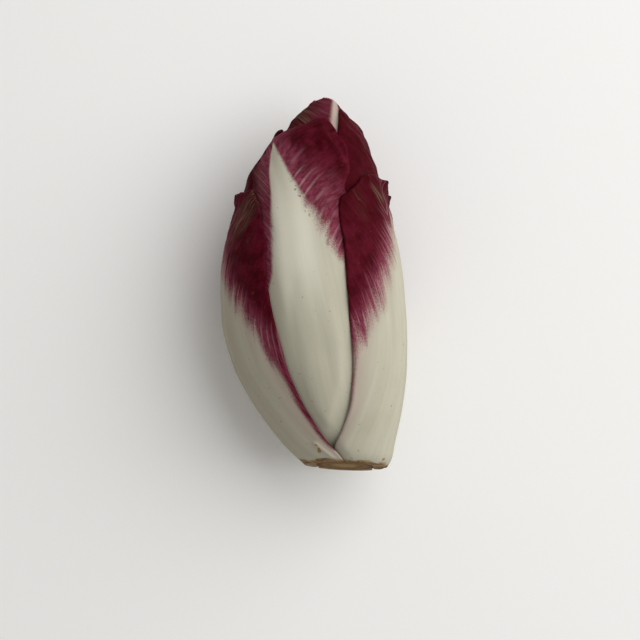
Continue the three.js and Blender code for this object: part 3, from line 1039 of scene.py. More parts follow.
    second_front = LeafPlan(
        name="second_leaf_front",
        # Painted shade over the whole of this tucked-in leaf.
        painted_shade=even(0.55),
        tint=0.7,
        foot=6.0,
        middle=((0, 12), (60, 12), (115, 28), (140, 32)),
        left=((0, 40), (60, 78), (110, 98), (128, 125), (143, 150)),
        right=((0, 40), (60, 78), (110, 80), (128, 90), (143, 120)),
        crown=((-1, 119), (-0.8, 129), (-0.55, 136), (-0.25, 140.5), (0, 142.5), (0.3, 140.5),
               (0.65, 137), (0.85, 131), (1, 114)),
        rib=5.0,
        flare=0.2,
        ruffle=0.1,
        seed=7.7,
        blush_left=((0, 40), (90, 12), (112, 4), (118, 2.8), (124, 1.7), (130, 0.2), (136, -1.4),
                    (142, -2.5)),
        blush_right=((0, 40), (90, 12), (112, 3), (118, 0.8), (123, 1.4), (130, 3.6),
                     (136, 4.6), (139, 3.8), (142, 2.0)),
        crest=0.5,
        feather=((0, 6), (110, 2), (120, 0.8), (142, 0.4)),
        pale=(Blotch(-12.0, 124.0, 4.5, 7.0, 25.0, 0.55),),
        fanned=True,
        lines=even(0.12),
    )
    second_under = LeafPlan(
        name="second_leaf_under",
        # Painted shade over the whole of this tucked-in leaf.
        painted_shade=even(0.55),
        foot=8.0,
        middle=((0, 205), (60, 202), (130, 196)),
        left=((0, 40), (60, 76), (110, 78), (139, 110)),
        right=((0, 40), (60, 76), (110, 78), (139, 110)),
        crown=((-1, 114), (-0.75, 133), (-0.5, 138), (0, 141), (0.5, 138), (0.75, 133), (1, 116)),
        flare=0.1,
        ruffle=0.1,
        seed=8.8,
        blush_left=((0, 42), (90, 10), (115, 1), (125, -3)),
        blush_right=((0, 42), (90, 10), (115, 1), (125, -3)),
    )
    return (left, right, under, front, second_left, second_right, second_front, second_under)


@dataclass(frozen=True)
class HeartRule:
    """How the hidden inner leaves follow each other up the stem."""

    count: int = 6
    first_turn: float = -80.0
    turn: float = 137.5
    first_tip: float = 138.0
    tip_step: float = 5.0
    first_foot: float = 12.0
    foot_step: float = 3.0
    first_rib: float = 4.6
    rib_step: float = 0.3
    rib_reach: float = 9.0
    first_seed: float = 9.0
    seed_step: float = 1.3
    half_wrap: float = 80.0
    across: int = 70
    along: int = 90

    def plans(self) -> tuple[LeafPlan, ...]:
        """Plan each inner leaf a golden angle on, and shorter, than the last."""
        return tuple(self._plan(i) for i in range(self.count))

    def _plan(self, i: int) -> LeafPlan:
        """Plan one inner leaf by its place in the order.

        Args:
            i: Its place, from 0.

        Returns:
            The leaf's plan.
        """
        turn = self.first_turn + self.turn * i
        tip = self.first_tip - self.tip_step * i
        wrap = self.half_wrap
        half = ((0, 0.55 * wrap), (0.5 * tip, wrap), (tip, 0.8 * wrap))
        purple = ((0, 40), (0.6 * tip, 12), (0.85 * tip, 1), (tip, -3))
        return LeafPlan(
            name=f"inner_leaf_{i + 1}",
            foot=self.first_foot + self.foot_step * i,
            middle=((0, turn), (tip, turn)),
            left=half,
            right=half,
            crown=((-1, tip - 20), (-0.5, tip - 6), (0, tip), (0.5, tip - 6), (1, tip - 20)),
            rib=self.first_rib - self.rib_step * i,
            rib_reach=self.rib_reach,
            seed=self.first_seed + self.seed_step * i,
            blush_left=purple,
            blush_right=purple,
            across=self.across,
            along=self.along,
        )


@dataclass
class Shell:
    """A closed mesh in the making: its points, faces and point values."""

    points: Array
    faces: list[tuple[int, ...]]
    flat: Array
    values: dict[str, Array]
    sharp_angle: float = 60.0

    def piece(self, name: str, material: bpy.types.Material) -> bpy.types.Object:
        """Make the mesh object, place it in the head's frame and log it.

        Args:
            name: The piece's name.
            material: What it is made of.

        Returns:
            The object, linked to the scene, at the origin.
        """
        mesh = bpy.data.meshes.new(name)
        mesh.from_pydata((self.points * METRES_PER_MM).tolist(), [], self.faces)
        mesh.validate()
        layer = mesh.uv_layers.new(name="Leaf")
        corner = np.empty(len(mesh.loops), np.int32)
        mesh.loops.foreach_get("vertex_index", corner)
        layer.data.foreach_set("uv", self.flat[corner].astype(np.float32).ravel())
        for key, value in self.values.items():
            attribute = mesh.attributes.new(key, "FLOAT", "POINT")
            attribute.data.foreach_set("value", value.astype(np.float32))
        mesh.polygons.foreach_set("use_smooth", np.ones(len(mesh.polygons), bool))
        mesh.set_sharp_from_angle(angle=np.radians(self.sharp_angle))
        mesh.materials.append(material)
        mesh.update()
        made = bpy.data.objects.new(name, mesh)
        bpy.context.scene.collection.objects.link(made)
        LOG.info("%s: %d points, %d faces", name, len(self.points), len(self.faces))
        return made


class LeafShell:
    """Turns a leaf's sheet into a closed mesh.

    The two faces share their points along the free edges. At the foot,
    where the leaf was cut, a strip joins them.
    """

    def build(self, leaf: Leaf) -> Shell:
        """Make the shell of one leaf.

        Args:
            leaf: The leaf, before it is laid in the crowding.

        Returns:
            The shell, with the values that its material reads.
        """
        sheet = leaf.sheet()
        count_a, count_h = sheet.share.shape
        front = np.arange(count_a * count_h).reshape(count_a, count_h)
        back = np.full_like(front, -1)
        back[1:-1, :-1] = np.arange((count_a - 2) * (count_h - 1)).reshape(count_a - 2, -1)
        back[1:-1, :-1] += front.size
        shared = back < 0
        back[shared] = front[shared]
        points = np.concatenate([sheet.outer.reshape(-1, 3), sheet.inner[~shared]])
        points[:, 2] = np.maximum(points[:, 2], 0.0)
        strip = np.stack([front[:-1, 0], back[:-1, 0], back[1:, 0], front[1:, 0]], -1)
        faces = np.concatenate([self._quads(front), self._quads(back)[:, ::-1], strip])
        flat = np.stack([sheet.sideways / FLAT_SPAN + 0.5, sheet.height / FLAT_SPAN], -1)
        return Shell(
            points=points,
            faces=[self._clean(face) for face in faces.tolist()],
            flat=self._both(flat, shared),
            values={key: self._both(v, shared) for key, v in self._values(leaf, sheet).items()},
        )

    @staticmethod
    def _quads(grid: Array) -> Array:
        """The quads between the points of a grid, outward for the front."""
        corners = [grid[:-1, :-1], grid[1:, :-1], grid[1:, 1:], grid[:-1, 1:]]
        return np.stack(corners, -1).reshape(-1, 4)

    @staticmethod
    def _clean(face: list[int]) -> tuple[int, ...]:
        """Drop a corner that a face names twice, where the faces meet."""
        return tuple(dict.fromkeys(face))

    @staticmethod
    def _both(value: Array, shared: Array) -> Array:
        """Repeat the front's values for the back's own points."""
        tail = value.shape[2:]
        return np.concatenate([value.reshape(-1, *tail), value[~shared].reshape(-1, *tail)])

    @staticmethod
    def _cover(patches: tuple[Blotch, ...], sheet: Sheet) -> Array:
        """How much of some patches covers each point, all together."""
        covers = (patch.cover(sheet.sideways, sheet.height) for patch in patches)
        return sum(covers, np.zeros_like(sheet.height))

    def _values(self, leaf: Leaf, sheet: Sheet) -> dict[str, Array]:
        """What the material reads at each point, by attribute name.

        Args:
            leaf: The leaf.
            sheet: Its grid.

        Returns:
            Grids of values, by attribute name.
        """
        plan, height = leaf.plan, sheet.height
        feather = leaf.feather(sheet.share, height)
        rosy_edge = ROSY_EDGE * ease(1.0 - sheet.blush / ROSY_REACH)
        rising = ROSY_FOOT + (1.0 - ROSY_FOOT) * ease((height - ROSY_START) / ROSY_RISE)
        return {
            "blush": sheet.blush,
            "vein": leaf.vein(sheet.share, height) + VEIN_SHIFT * plan.seed,
            "feather": feather,
            "soft": plan.softness * feather + LEAST_SOFTNESS,
            "tint": plan.tint * ease((sheet.blush + TINT_REACH) / TINT_SPAN),
            # Painted shade on the purple: the rolled edges, and the plan's shade by height.
            "painted_shade": np.maximum(leaf.turned(sheet.share, height), through(plan.painted_shade, height)),
            "lines": leaf.lines(sheet.share, height),
            # Painted light and painted shade on the flesh, by patch.
            "tone": self._cover(plan.tone, sheet),
            "rosy": np.maximum(self._cover(plan.rosy, sheet), rosy_edge * rising),
            "pale": self._cover(plan.pale, sheet),
            "specks": self._cover(plan.specks, sheet),
            "scar": np.minimum(self._cover(plan.scars, sheet), 1.0),
        }


@dataclass(frozen=True)
class StemShell:
    """The stem: the cut face, the cone and the closed bud of the heart."""

    sides: int = 96
    rings: int = 72
    cut_rings: int = 14

    def build(self, form: HeadForm) -> Shell:
        """Make the stem round the head's core line.

        Args:
            form: The head's form, which holds the stem's radii.

        Returns:
            The shell, with each point's share of the cut's radius.
        """
        turns = np.arange(self.sides) * 360.0 / self.sides
        shares = np.linspace(0.0, 1.0, self.cut_rings + 1)[1:]
        heights = np.linspace(0.0, form.stem_top, self.rings + 1)[1:-1]
        ring_height = np.concatenate([np.zeros_like(shares), heights])
        radius = np.concatenate([shares * form.stem[0][1], through(form.stem, heights)])
        share = np.concatenate([shares, np.ones_like(heights)])
        angle, height = np.meshgrid(turns, ring_height)
        depth = form.reach(angle, height) - radius[:, None]
        body = form.place(angle, height, depth).reshape(-1, 3)
        ends = [
            form.place(0.0, h, form.reach(np.array(0.0), np.array(h)))
            for h in (0.0, form.stem_top)
        ]
        points = np.concatenate([body, np.stack(ends)])
        grid = np.arange(len(body)).reshape(-1, self.sides)
        grid = np.concatenate([grid, grid[:, :1]], axis=1)
        corners = [grid[:-1, :-1], grid[:-1, 1:], grid[1:, 1:], grid[1:, :-1]]
        faces = np.stack(corners, -1).reshape(-1, 4).tolist()
        first, last = len(body), len(body) + 1
        faces += [(first, b, a) for a, b in zip(grid[0, :-1], grid[0, 1:])]
        faces += [(last, a, b) for a, b in zip(grid[-1, :-1], grid[-1, 1:])]
        ring = np.concatenate([np.repeat(share, self.sides), [0.0, 1.0]])
        up = np.concatenate([np.repeat(ring_height, self.sides), [0.0, form.stem_top]])
        flat = np.stack([np.concatenate([angle.ravel() / 360.0, [0.0, 0.0]]), up / FLAT_SPAN], -1)
        return Shell(
            points=points,
            faces=[tuple(int(i) for i in face) for face in faces],
            flat=flat,
            values={"ring": ring, "up": up},
            sharp_angle=50.0,
        )


@dataclass(frozen=True)
class Colour:
    """A colour as the eye's 0 to 255 values, as read off a screen."""

    red: int
    green: int
    blue: int

    @property
    def linear(self) -> tuple[float, float, float, float]:
        """The same colour as light, with full cover.

        Returns:
            Red, green, blue and cover, 0 to 1.
        """
        values = np.array([self.red, self.green, self.blue]) / 255.0
        low, high = values / 12.92, ((values + 0.055) / 1.055) ** 2.4
        return (*np.where(values <= 0.04045, low, high).tolist(), 1.0)


@dataclass(frozen=True)
class Noise:
    """A smooth noise from 0 to 1, about 0.5 on average.

    Attributes:
        scale: Waves to a millimetre.
        detail: How many finer layers it has.
        rough: How strong each finer layer is.
        stretch: The share of the height that it reads, less for a noise
            that is drawn out up the leaf.
    """

    scale: float
    detail: float = 2.0
    rough: float = 0.5
    stretch: float = 1.0


@dataclass(frozen=True)
class Rise:
    """A smooth rise from start to end, as a value goes from low to high."""

    low: float
    high: float
    start: float = 0.0
    end: float = 1.0


class Graph:
    """A short way to write a material's nodes as formulas."""

    def __init__(self, name: str) -> None:
        """Start a material that holds one principled shader.

        Args:
            name: The material's name.
        """
        self.material = bpy.data.materials.new(name)
        self.material.use_nodes = True
        self.nodes = self.material.node_tree.nodes
        self.links = self.material.node_tree.links
        self.nodes.clear()
        output = self.nodes.new("ShaderNodeOutputMaterial")
        self.shader = self.nodes.new("ShaderNodeBsdfPrincipled")
        self.links.new(self.shader.outputs["BSDF"], output.inputs["Surface"])

    def _feed(self, socket: Socket, value: object) -> None:
        """Link a socket, or set its own value.

        Args:
            socket: The socket to feed.
            value: A socket to link, or a value.
        """
        if isinstance(value, Socket):
            self.links.new(value, socket)
        else:
            socket.default_value = value

    def set(self, **values: object) -> None:
        """Set the shader's sockets, named in lower case with underscores.

        Args:
            **values: A socket or a value for each name.
        """
        for key, value in values.items():
            name = key.replace("_", " ").title().replace("Ior", "IOR")
            self._feed(self.shader.inputs[name], value)

    def attribute(self, name: str) -> Socket:
        """Read one of the mesh's own point values.

        Args:
            name: The value's name.

        Returns:
            The value.
        """
        node = self.nodes.new("ShaderNodeAttribute")
        node.attribute_name = name
        return node.outputs["Fac"]

    def flat(self) -> tuple[Socket, Socket]:
        """Read the leaf laid flat: mm from the midrib, and mm up the leaf.

        Returns:
            The two distances.
        """
        node = self.nodes.new("ShaderNodeUVMap")
        node.uv_map = "Leaf"
        split = self.nodes.new("ShaderNodeSeparateXYZ")
        self.links.new(node.outputs["UV"], split.inputs[0])
        across = self.math("MULTIPLY_ADD", split.outputs[0], FLAT_SPAN, -FLAT_SPAN / 2.0)
        return across, self.product(split.outputs[1], FLAT_SPAN)

    def place(self) -> Socket:
        """Read the place on the object, in mm.

        Returns:
            The place, as a vector.
        """
        node = self.nodes.new("ShaderNodeTexCoord")
        grow = self.nodes.new("ShaderNodeVectorMath")
        grow.operation = "SCALE"
        self.links.new(node.outputs["Object"], grow.inputs[0])
        grow.inputs["Scale"].default_value = 1.0 / METRES_PER_MM
        return grow.outputs[0]

    def math(self, operation: str, *values: Feed) -> Socket:
        """Work out one step of arithmetic.

        Args:
            operation: The step's kind.
            *values: What it works on, in order.

        Returns:
            The result.
        """
        node = self.nodes.new("ShaderNodeMath")
        node.operation = operation
        for socket, value in zip(node.inputs, values):
            self._feed(socket, value)
        return node.outputs[0]

    def product(self, first: Feed, *others: Feed) -> Socket:
        """Multiply two values or more.

        Args:
            first: The first value.
            *others: The values to multiply it by.

        Returns:
            The product.
        """
        for other in others:
            first = self.math("MULTIPLY", first, other)
        return first

    def sway(self, noise: Socket, reach: Feed, base: Feed = 0.0) -> Socket:
        """Move a base value to and fro: base + reach (noise - 0.5)."""
        return self.math("MULTIPLY_ADD", self.math("SUBTRACT", noise, 0.5), reach, base)

    def vector(self, across: Socket, height: Socket, stretch: float) -> Socket:
        """A place across and up the leaf, drawn out up the leaf.

        Args:
            across: Distance across, in mm.
            height: Distance up, in mm.
            stretch: The share of the height to read.

        Returns:
            The place, as a vector.
        """
        node = self.nodes.new("ShaderNodeCombineXYZ")
        self._feed(node.inputs[0], across)
        self._feed(node.inputs[1], self.product(height, stretch))
        return node.outputs[0]

    def noise(self, kind: Noise, where: Socket) -> Socket:
        """Read a noise at a place.

        Args:
            kind: The noise.
            where: The place, as a vector.

        Returns:
            Values from 0 to 1.
        """
        node = self.nodes.new("ShaderNodeTexNoise")
        self.links.new(where, node.inputs["Vector"])
        node.inputs["Scale"].default_value = kind.scale
        node.inputs["Detail"].default_value = kind.detail
        node.inputs["Roughness"].default_value = kind.rough
        return node.outputs["Fac"]

    def streaks(self, kind: Noise, across: Socket, height: Socket) -> Socket:
        """Read a noise that is drawn out up the leaf."""
        return self.noise(kind, self.vector(across, height, kind.stretch))

    def cracks(self, kind: Noise, across: Socket, height: Socket) -> Socket:
        """Distance to the edges of a cell pattern on the leaf.

        Args:
            kind: Its scale and stretch.
            across: Distance across, in mm.
            height: Distance up, in mm.

        Returns:
            Distances, 0 on an edge.
        """
        node = self.nodes.new("ShaderNodeTexVoronoi")
        node.feature = "DISTANCE_TO_EDGE"
        self.links.new(self.vector(across, height, kind.stretch), node.inputs["Vector"])
        node.inputs["Scale"].default_value = kind.scale
        return node.outputs["Distance"]

    def step(self, value: Feed, rise: Rise) -> Socket:
        """Read a rise at a value.

        Args:
            value: The value.
            rise: The rise.

        Returns:
            How far it has risen.
        """
        node = self.nodes.new("ShaderNodeMapRange")
        node.interpolation_type = "SMOOTHSTEP"
        keys = ("Value", "From Min", "From Max", "To Min", "To Max")
        for key, given in zip(keys, (value, rise.low, rise.high, rise.start, rise.end)):
            self._feed(node.inputs[key], given)
        return node.outputs[0]

    def mix(self, share: Feed, first: Socket | Colour, second: Socket | Colour) -> Socket:
        """Mix two colours.

        Args:
            share: How much of the second colour.
            first: The colour at 0.
            second: The colour at 1.

        Returns:
            The mixed colour.
        """
        node = self.nodes.new("ShaderNodeMix")
        node.data_type = "RGBA"
        self._feed(node.inputs[0], share)
        for socket, value in ((node.inputs[6], first), (node.inputs[7], second)):
            self._feed(socket, value.linear if isinstance(value, Colour) else value)
        return node.outputs[2]

    def bump(self, height: Socket, strength: float, distance: float) -> None:
        """Let a height in 0 to 1 tilt the surface, distance in metres.

        Args:
            height: The height.
            strength: How much of the tilt shows.
            distance: Metres to one unit of height.
        """
        node = self.nodes.new("ShaderNodeBump")
        node.inputs["Strength"].default_value = strength
        node.inputs["Distance"].default_value = distance
        self.links.new(height, node.inputs["Height"])
        self.links.new(node.outputs["Normal"], self.shader.inputs["Normal"])


@dataclass(frozen=True)
class LeafPlaces:
    """What the leaf's material reads at each place, in mm.

    Attributes:
        graph: The material's nodes.
        across: Distance from the midrib.
        height: Distance up the leaf.
        vein: Stays the same along each vein.
        blush: Distance inside the purple.
        grain: The place in the head's frame.
    """

    graph: Graph
    across: Socket
    height: Socket
    vein: Socket
    blush: Socket
    grain: Socket

    def along_veins(self, kind: Noise) -> Socket:
        """Read a noise that is drawn out along the veins."""
        return self.graph.streaks(kind, self.vein, self.height)

    def lengthwise(self, kind: Noise) -> Socket:
        """Read a noise that is drawn out along the midrib."""
        return self.graph.streaks(kind, self.across, self.height)

    def grainy(self, kind: Noise) -> Socket:
        """Read a noise that is the same in all directions."""
        return self.graph.noise(kind, self.grain)


@dataclass(frozen=True)
class LeafPaint:
    """The leaf's material: white flesh that feathers out into purple."""

    flesh: Colour = Colour(184, 181, 163)
    flesh_bright: Colour = Colour(192, 190, 173)
    flesh_shade: Colour = Colour(168, 162, 141)
    # Painted light and painted shade of the flesh.
    flesh_painted_light: Colour = Colour(218, 215, 199)
    flesh_painted_shade: Colour = Colour(150, 139, 122)
    flesh_blush: Colour = Colour(166, 138, 134)
    purple: Colour = Colour(84, 14, 30)
    purple_deep: Colour = Colour(60, 3, 10)
    purple_bright: Colour = Colour(124, 46, 68)
    purple_rosy: Colour = Colour(142, 74, 92)
    vein_pale: Colour = Colour(186, 156, 152)
    cut: Colour = Colour(138, 106, 60)
    cut_dark: Colour = Colour(88, 60, 34)
    cut_pale: Colour = Colour(152, 130, 92)
    pale: Colour = Colour(118, 100, 82)
    speck: Colour = Colour(92, 66, 30)

    # The purple's feathered edge: three noises, how far each moves it as a
    # share of the feather, and how it fades out.
    broad_teeth: Noise = Noise(0.3, 1.0, stretch=0.05)
    broad_reach: float = 2.4
    fine_teeth: Noise = Noise(1.3, 2.0, stretch=0.06)
    fine_reach: float = 0.7
    dust: Noise = Noise(2.4, 1.0)
    dust_reach: float = 1.5
    purple_edge: Rise = Rise(-1.6, 1.5)

    # Pale veins: their spacing in mm, how they wander, their width as a share
    # of the spacing, how they fade into the purple and where they break off.
    line_spacing: float = 2.3
    wander: Noise = Noise(0.11, 1.0, stretch=0.2)
    wander_reach: float = 2.2
    line_width: Rise = Rise(0.02, 0.2, 0.8, 0.0)
    line_fade: Rise = Rise(1.0, 13.0, 1.0, 0.0)
    breaks: Noise = Noise(0.12, 1.0)
    line_breaks: Rise = Rise(0.4, 0.6)

    # The flesh: lengthwise streaks, how far they are evened out, clouds, and the rises of its
    # painted light and painted shade.
    flesh_streak: Noise = Noise(0.22, 3.0, 0.6, stretch=0.05)
    flesh_streaks: Rise = Rise(0.25, 0.75)
    evening: float = 0.6
    cloud: Noise = Noise(0.05, 2.0)
    clouds: Rise = Rise(0.5, 0.75, 0.0, 0.35)
    painted_light_rise: Rise = Rise(0.0, 1.0)
    painted_shade_rise: Rise = Rise(-1.0, 0.0, 1.0, 0.0)

    # The purple blade: mottles, bright streaks near its edge, the stipple of
    # its rosy parts and the net of fine veins.
    mottle: Noise = Noise(0.16, 3.0, 0.6)
    mottles: Rise = Rise(0.35, 0.65)
    blade_streak: Noise = Noise(1.3, 3.0, stretch=0.1)
    blade_streaks: Rise = Rise(0.3, 0.66)
    bright_edge: Rise = Rise(0.0, 13.0, 1.0, 0.1)
    stipple: Noise = Noise(1.5, 2.0, stretch=0.3)
    stipples: Rise = Rise(0.35, 0.65, 0.3, 1.0)
    net: Noise = Noise(0.55, stretch=0.45)
    net_shade: Rise = Rise(0.0, 0.09, 0.28, 0.0)

    # Dusty stripes, brown dots and flecks, and dried scars.
    stripe: Noise = Noise(1.7, 2.0, stretch=0.06)
    stripes: Rise = Rise(0.38, 0.62)
    stripe_cover: float = 0.75
    dot: Noise = Noise(0.95, 1.0)
    dots: Rise = Rise(0.60, 0.68)
    fleck: Noise = Noise(0.62, 0.0)
    flecks: Rise = Rise(0.80, 0.83, 0.0, 0.3)
    scar_mottle: Noise = Noise(1.1, 2.0)
    scar_mottles: Rise = Rise(0.35, 0.6)
    scar_edge: Noise = Noise(0.8, 2.0)
    scar_reach: float = 0.8
    scar_rim: Rise = Rise(0.3, 0.45)

    # The browned end: its uneven limit in mm, its grain and paler patches.
    cut_edge: Noise = Noise(0.16, 3.0)
    cut_reach: float = -6.0
    cut_grain: Noise = Noise(0.6, 3.0)
    cut_grains: Rise = Rise(0.38, 0.55)
    cut_patch: Noise = Noise(0.21, 2.0)
    cut_patches: Rise = Rise(0.46, 0.6, 0.0, 0.65)
    cut_rim: Rise = Rise(0.2, 1.7, 0.92, 0.0)
    cut_face: Rise = Rise(0.05, 0.5, 0.75, 0.0)

    # The gloss and the fine relief.
    gloss: Noise = Noise(0.35, 3.0)
    glosses: Rise = Rise(0.3, 0.7, 0.48, 0.6)
    groove: Noise = Noise(1.3, 3.0, stretch=0.04)
    groove_share: float = 0.4
    ridge: Noise = Noise(1.5, 3.0, stretch=0.08)
    net_relief: Rise = Rise(0.0, 0.25, 0.0, 0.8)
    blade_share: float = 0.9
    pores: Noise = Noise(2.2, 2.0)
    pore_share: float = 0.12
    relief_strength: float = 0.35
    relief_metres: float = 0.0002

    def material(self, name: str) -> bpy.types.Material:
        """Build the material.

        The purple's edge is the distance inside it, moved to and fro by
        noise that is stretched along the veins, so that it ends in long
        teeth. Main veins stay pale for some way into the purple.

        Args:
            name: The material's name.

        Returns:
            The material, for all leaves.
        """
        graph = Graph(name)
        across, height = graph.flat()
        at = LeafPlaces(
            graph=graph,
            across=across,
            height=height,
            vein=graph.attribute("vein"),
            blush=graph.attribute("blush"),
            grain=graph.place(),
        )
        purple = self._purple_share(at)
        colour = graph.mix(purple, self._flesh(at), self._blade(at))
        graph.set(
            base_color=self._cut_end(at, self._patches(at, colour)),
            roughness=graph.step(at.grainy(self.gloss), self.glosses),
            specular_ior_level=0.02,
            subsurface_weight=0.10,
            subsurface_radius=(0.0022, 0.0013, 0.0008),
            subsurface_scale=1.0,
        )
        graph.bump(self._fine_relief(at, purple), self.relief_strength, self.relief_metres)
        return graph.material

    def _purple_share(self, at: LeafPlaces) -> Socket:
        """How purple each place is, from 0 to 1, with feathered teeth.

        Args:
            at: What the material reads at each place.

        Returns:
            The share of purple.
        """
        graph = at.graph
        move = graph.sway(at.along_veins(self.broad_teeth), self.broad_reach)
        move = graph.sway(at.along_veins(self.fine_teeth), self.fine_reach, move)
        move = graph.sway(at.grainy(self.dust), self.dust_reach, move)
        edge = graph.math("MULTIPLY_ADD", move, graph.attribute("feather"), at.blush)
        inside = graph.math("DIVIDE", edge, graph.attribute("soft"))
        return graph.step(inside, self.purple_edge)

    def _pale_veins(self, at: LeafPlaces) -> Socket:
        """How strongly a pale vein shows at each place, from 0 to 1.

        Args:
            at: What the material reads at each place.

        Returns:
            The share of the pale colour.
        """
        graph = at.graph
        cycle = graph.math("DIVIDE", at.vein, self.line_spacing)
        wander = at.along_veins(self.wander)
        cycle = graph.math("MULTIPLY_ADD", wander, self.wander_reach, cycle)
        away = graph.math("ABSOLUTE", graph.math("SUBTRACT", graph.math("FRACT", cycle), 0.5))
        line = graph.step(away, self.line_width)
        fade = graph.step(at.blush, self.line_fade)
        broken = graph.step(at.along_veins(self.breaks), self.line_breaks)
        return graph.product(line, fade, graph.attribute("lines"), broken)

    def _flesh(self, at: LeafPlaces) -> Socket:
        """The white part: soft lengthwise streaks, painted light and painted shade, warmer towards
        purple.

        Args:
            at: What the material reads at each place.

        Returns:
            The colour.
        """
        graph = at.graph
        streak = graph.step(at.lengthwise(self.flesh_streak), self.flesh_streaks)
        colour = graph.mix(streak, self.flesh_shade, self.flesh_bright)
        colour = graph.mix(self.evening, colour, self.flesh)
        cloud = graph.step(at.grainy(self.cloud), self.clouds)
        colour = graph.mix(cloud, colour, self.flesh_shade)
        # Painted light and painted shade: lighter above 0, darker below 0.
        tone = graph.attribute("tone")
        colour = graph.mix(graph.step(tone, self.painted_light_rise), colour, self.flesh_painted_light)
        colour = graph.mix(graph.step(tone, self.painted_shade_rise), colour, self.flesh_painted_shade)
        return graph.mix(graph.attribute("tint"), colour, self.flesh_blush)

    def _blade(self, at: LeafPlaces) -> Socket:
        """The purple part: mottled, netted with veins, brighter at its edge, darker with painted
        shade.

        Args:
            at: What the material reads at each place.

        Returns:
            The colour.
        """
        graph = at.graph
        mottle = graph.step(at.grainy(self.mottle), self.mottles)
        colour = graph.mix(mottle, self.purple_deep, self.purple)
        streak = graph.step(at.along_veins(self.blade_streak), self.blade_streaks)
        bright = graph.product(streak, graph.step(at.blush, self.bright_edge))
        colour = graph.mix(bright, colour, self.purple_bright)
        stipple = graph.step(at.along_veins(self.stipple), self.stipples)
        rosy = graph.product(graph.attribute("rosy"), stipple)
        colour = graph.mix(rosy, colour, self.purple_rosy)
        # Painted shade: darkens the purple on rolled edges, over the right leaf's top and on the
        # tucked second leaves.
        colour = graph.mix(graph.attribute("painted_shade"), colour, self.purple_deep)
        net = graph.step(graph.cracks(self.net, at.vein, at.height), self.net_shade)
        colour = graph.mix(net, colour, self.purple_deep)
        return graph.mix(self._pale_veins(at), colour, self.vein_pale)

    def _patches(self, at: LeafPlaces, colour: Socket) -> Socket:
        """Pale striped patches near an upper edge, and small brown specks.

        Args:
            at: What the material reads at each place.
            colour: The colour under the patches.

        Returns:
            The colour.
        """
        graph = at.graph
        stripe = graph.step(at.along_veins(self.stripe), self.stripes)
        cover = graph.product(graph.attribute("pale"), stripe, self.stripe_cover)
        colour = graph.mix(cover, colour, self.pale)
        dots = graph.step(at.grainy(self.dot), self.dots)
        colour = graph.mix(graph.product(graph.attribute("specks"), dots), colour, self.speck)
        fleck = graph.step(at.grainy(self.fleck), self.flecks)
        colour = graph.mix(fleck, colour, self.speck)
        mottle = graph.step(at.grainy(self.scar_mottle), self.scar_mottles)
        scar = graph.mix(mottle, self.cut, self.cut_pale)
        edge = at.grainy(self.scar_edge)
        ragged = graph.sway(edge, self.scar_reach, graph.attribute("scar"))
        return graph.mix(graph.step(ragged, self.scar_rim), colour, scar)

    def _cut_end(self, at: LeafPlaces, colour: Socket) -> Socket:
        """The browned end at the cut, with an uneven upper limit.

        Args:
            at: What the material reads at each place.
            colour: The colour above the cut.

        Returns:
            The colour.
        """
        graph = at.graph
        level = graph.sway(at.grainy(self.cut_edge), self.cut_reach, at.height)
        grain = graph.step(at.grainy(self.cut_grain), self.cut_grains)
        brown = graph.mix(grain, self.cut_dark, self.cut)
        patchy = graph.step(at.grainy(self.cut_patch), self.cut_patches)
        brown = graph.mix(patchy, brown, self.cut_pale)
        colour = graph.mix(graph.step(level, self.cut_rim), colour, brown)
        return graph.mix(graph.step(at.height, self.cut_face), colour, brown)

    def _fine_relief(self, at: LeafPlaces, purple: Socket) -> Socket:
        """Fine lengthwise grooves on the flesh and a netted, veined blade.

        Args:
            at: What the material reads at each place.
            purple: The share of purple.

        Returns:
            The height, about 0 to 1.
        """
        graph = at.graph
        net = graph.step(graph.cracks(self.net, at.vein, at.height), self.net_relief)
        netted = graph.math("ADD", at.along_veins(self.ridge), net)
        blade = graph.product(netted, purple, self.blade_share)
        bare = graph.math("SUBTRACT", 1.0, purple)
        flesh = graph.product(at.lengthwise(self.groove), bare, self.groove_share)
        pores = graph.product(at.grainy(self.pores), self.pore_share)
        return graph.math("ADD", graph.math("ADD", blade, flesh), pores)


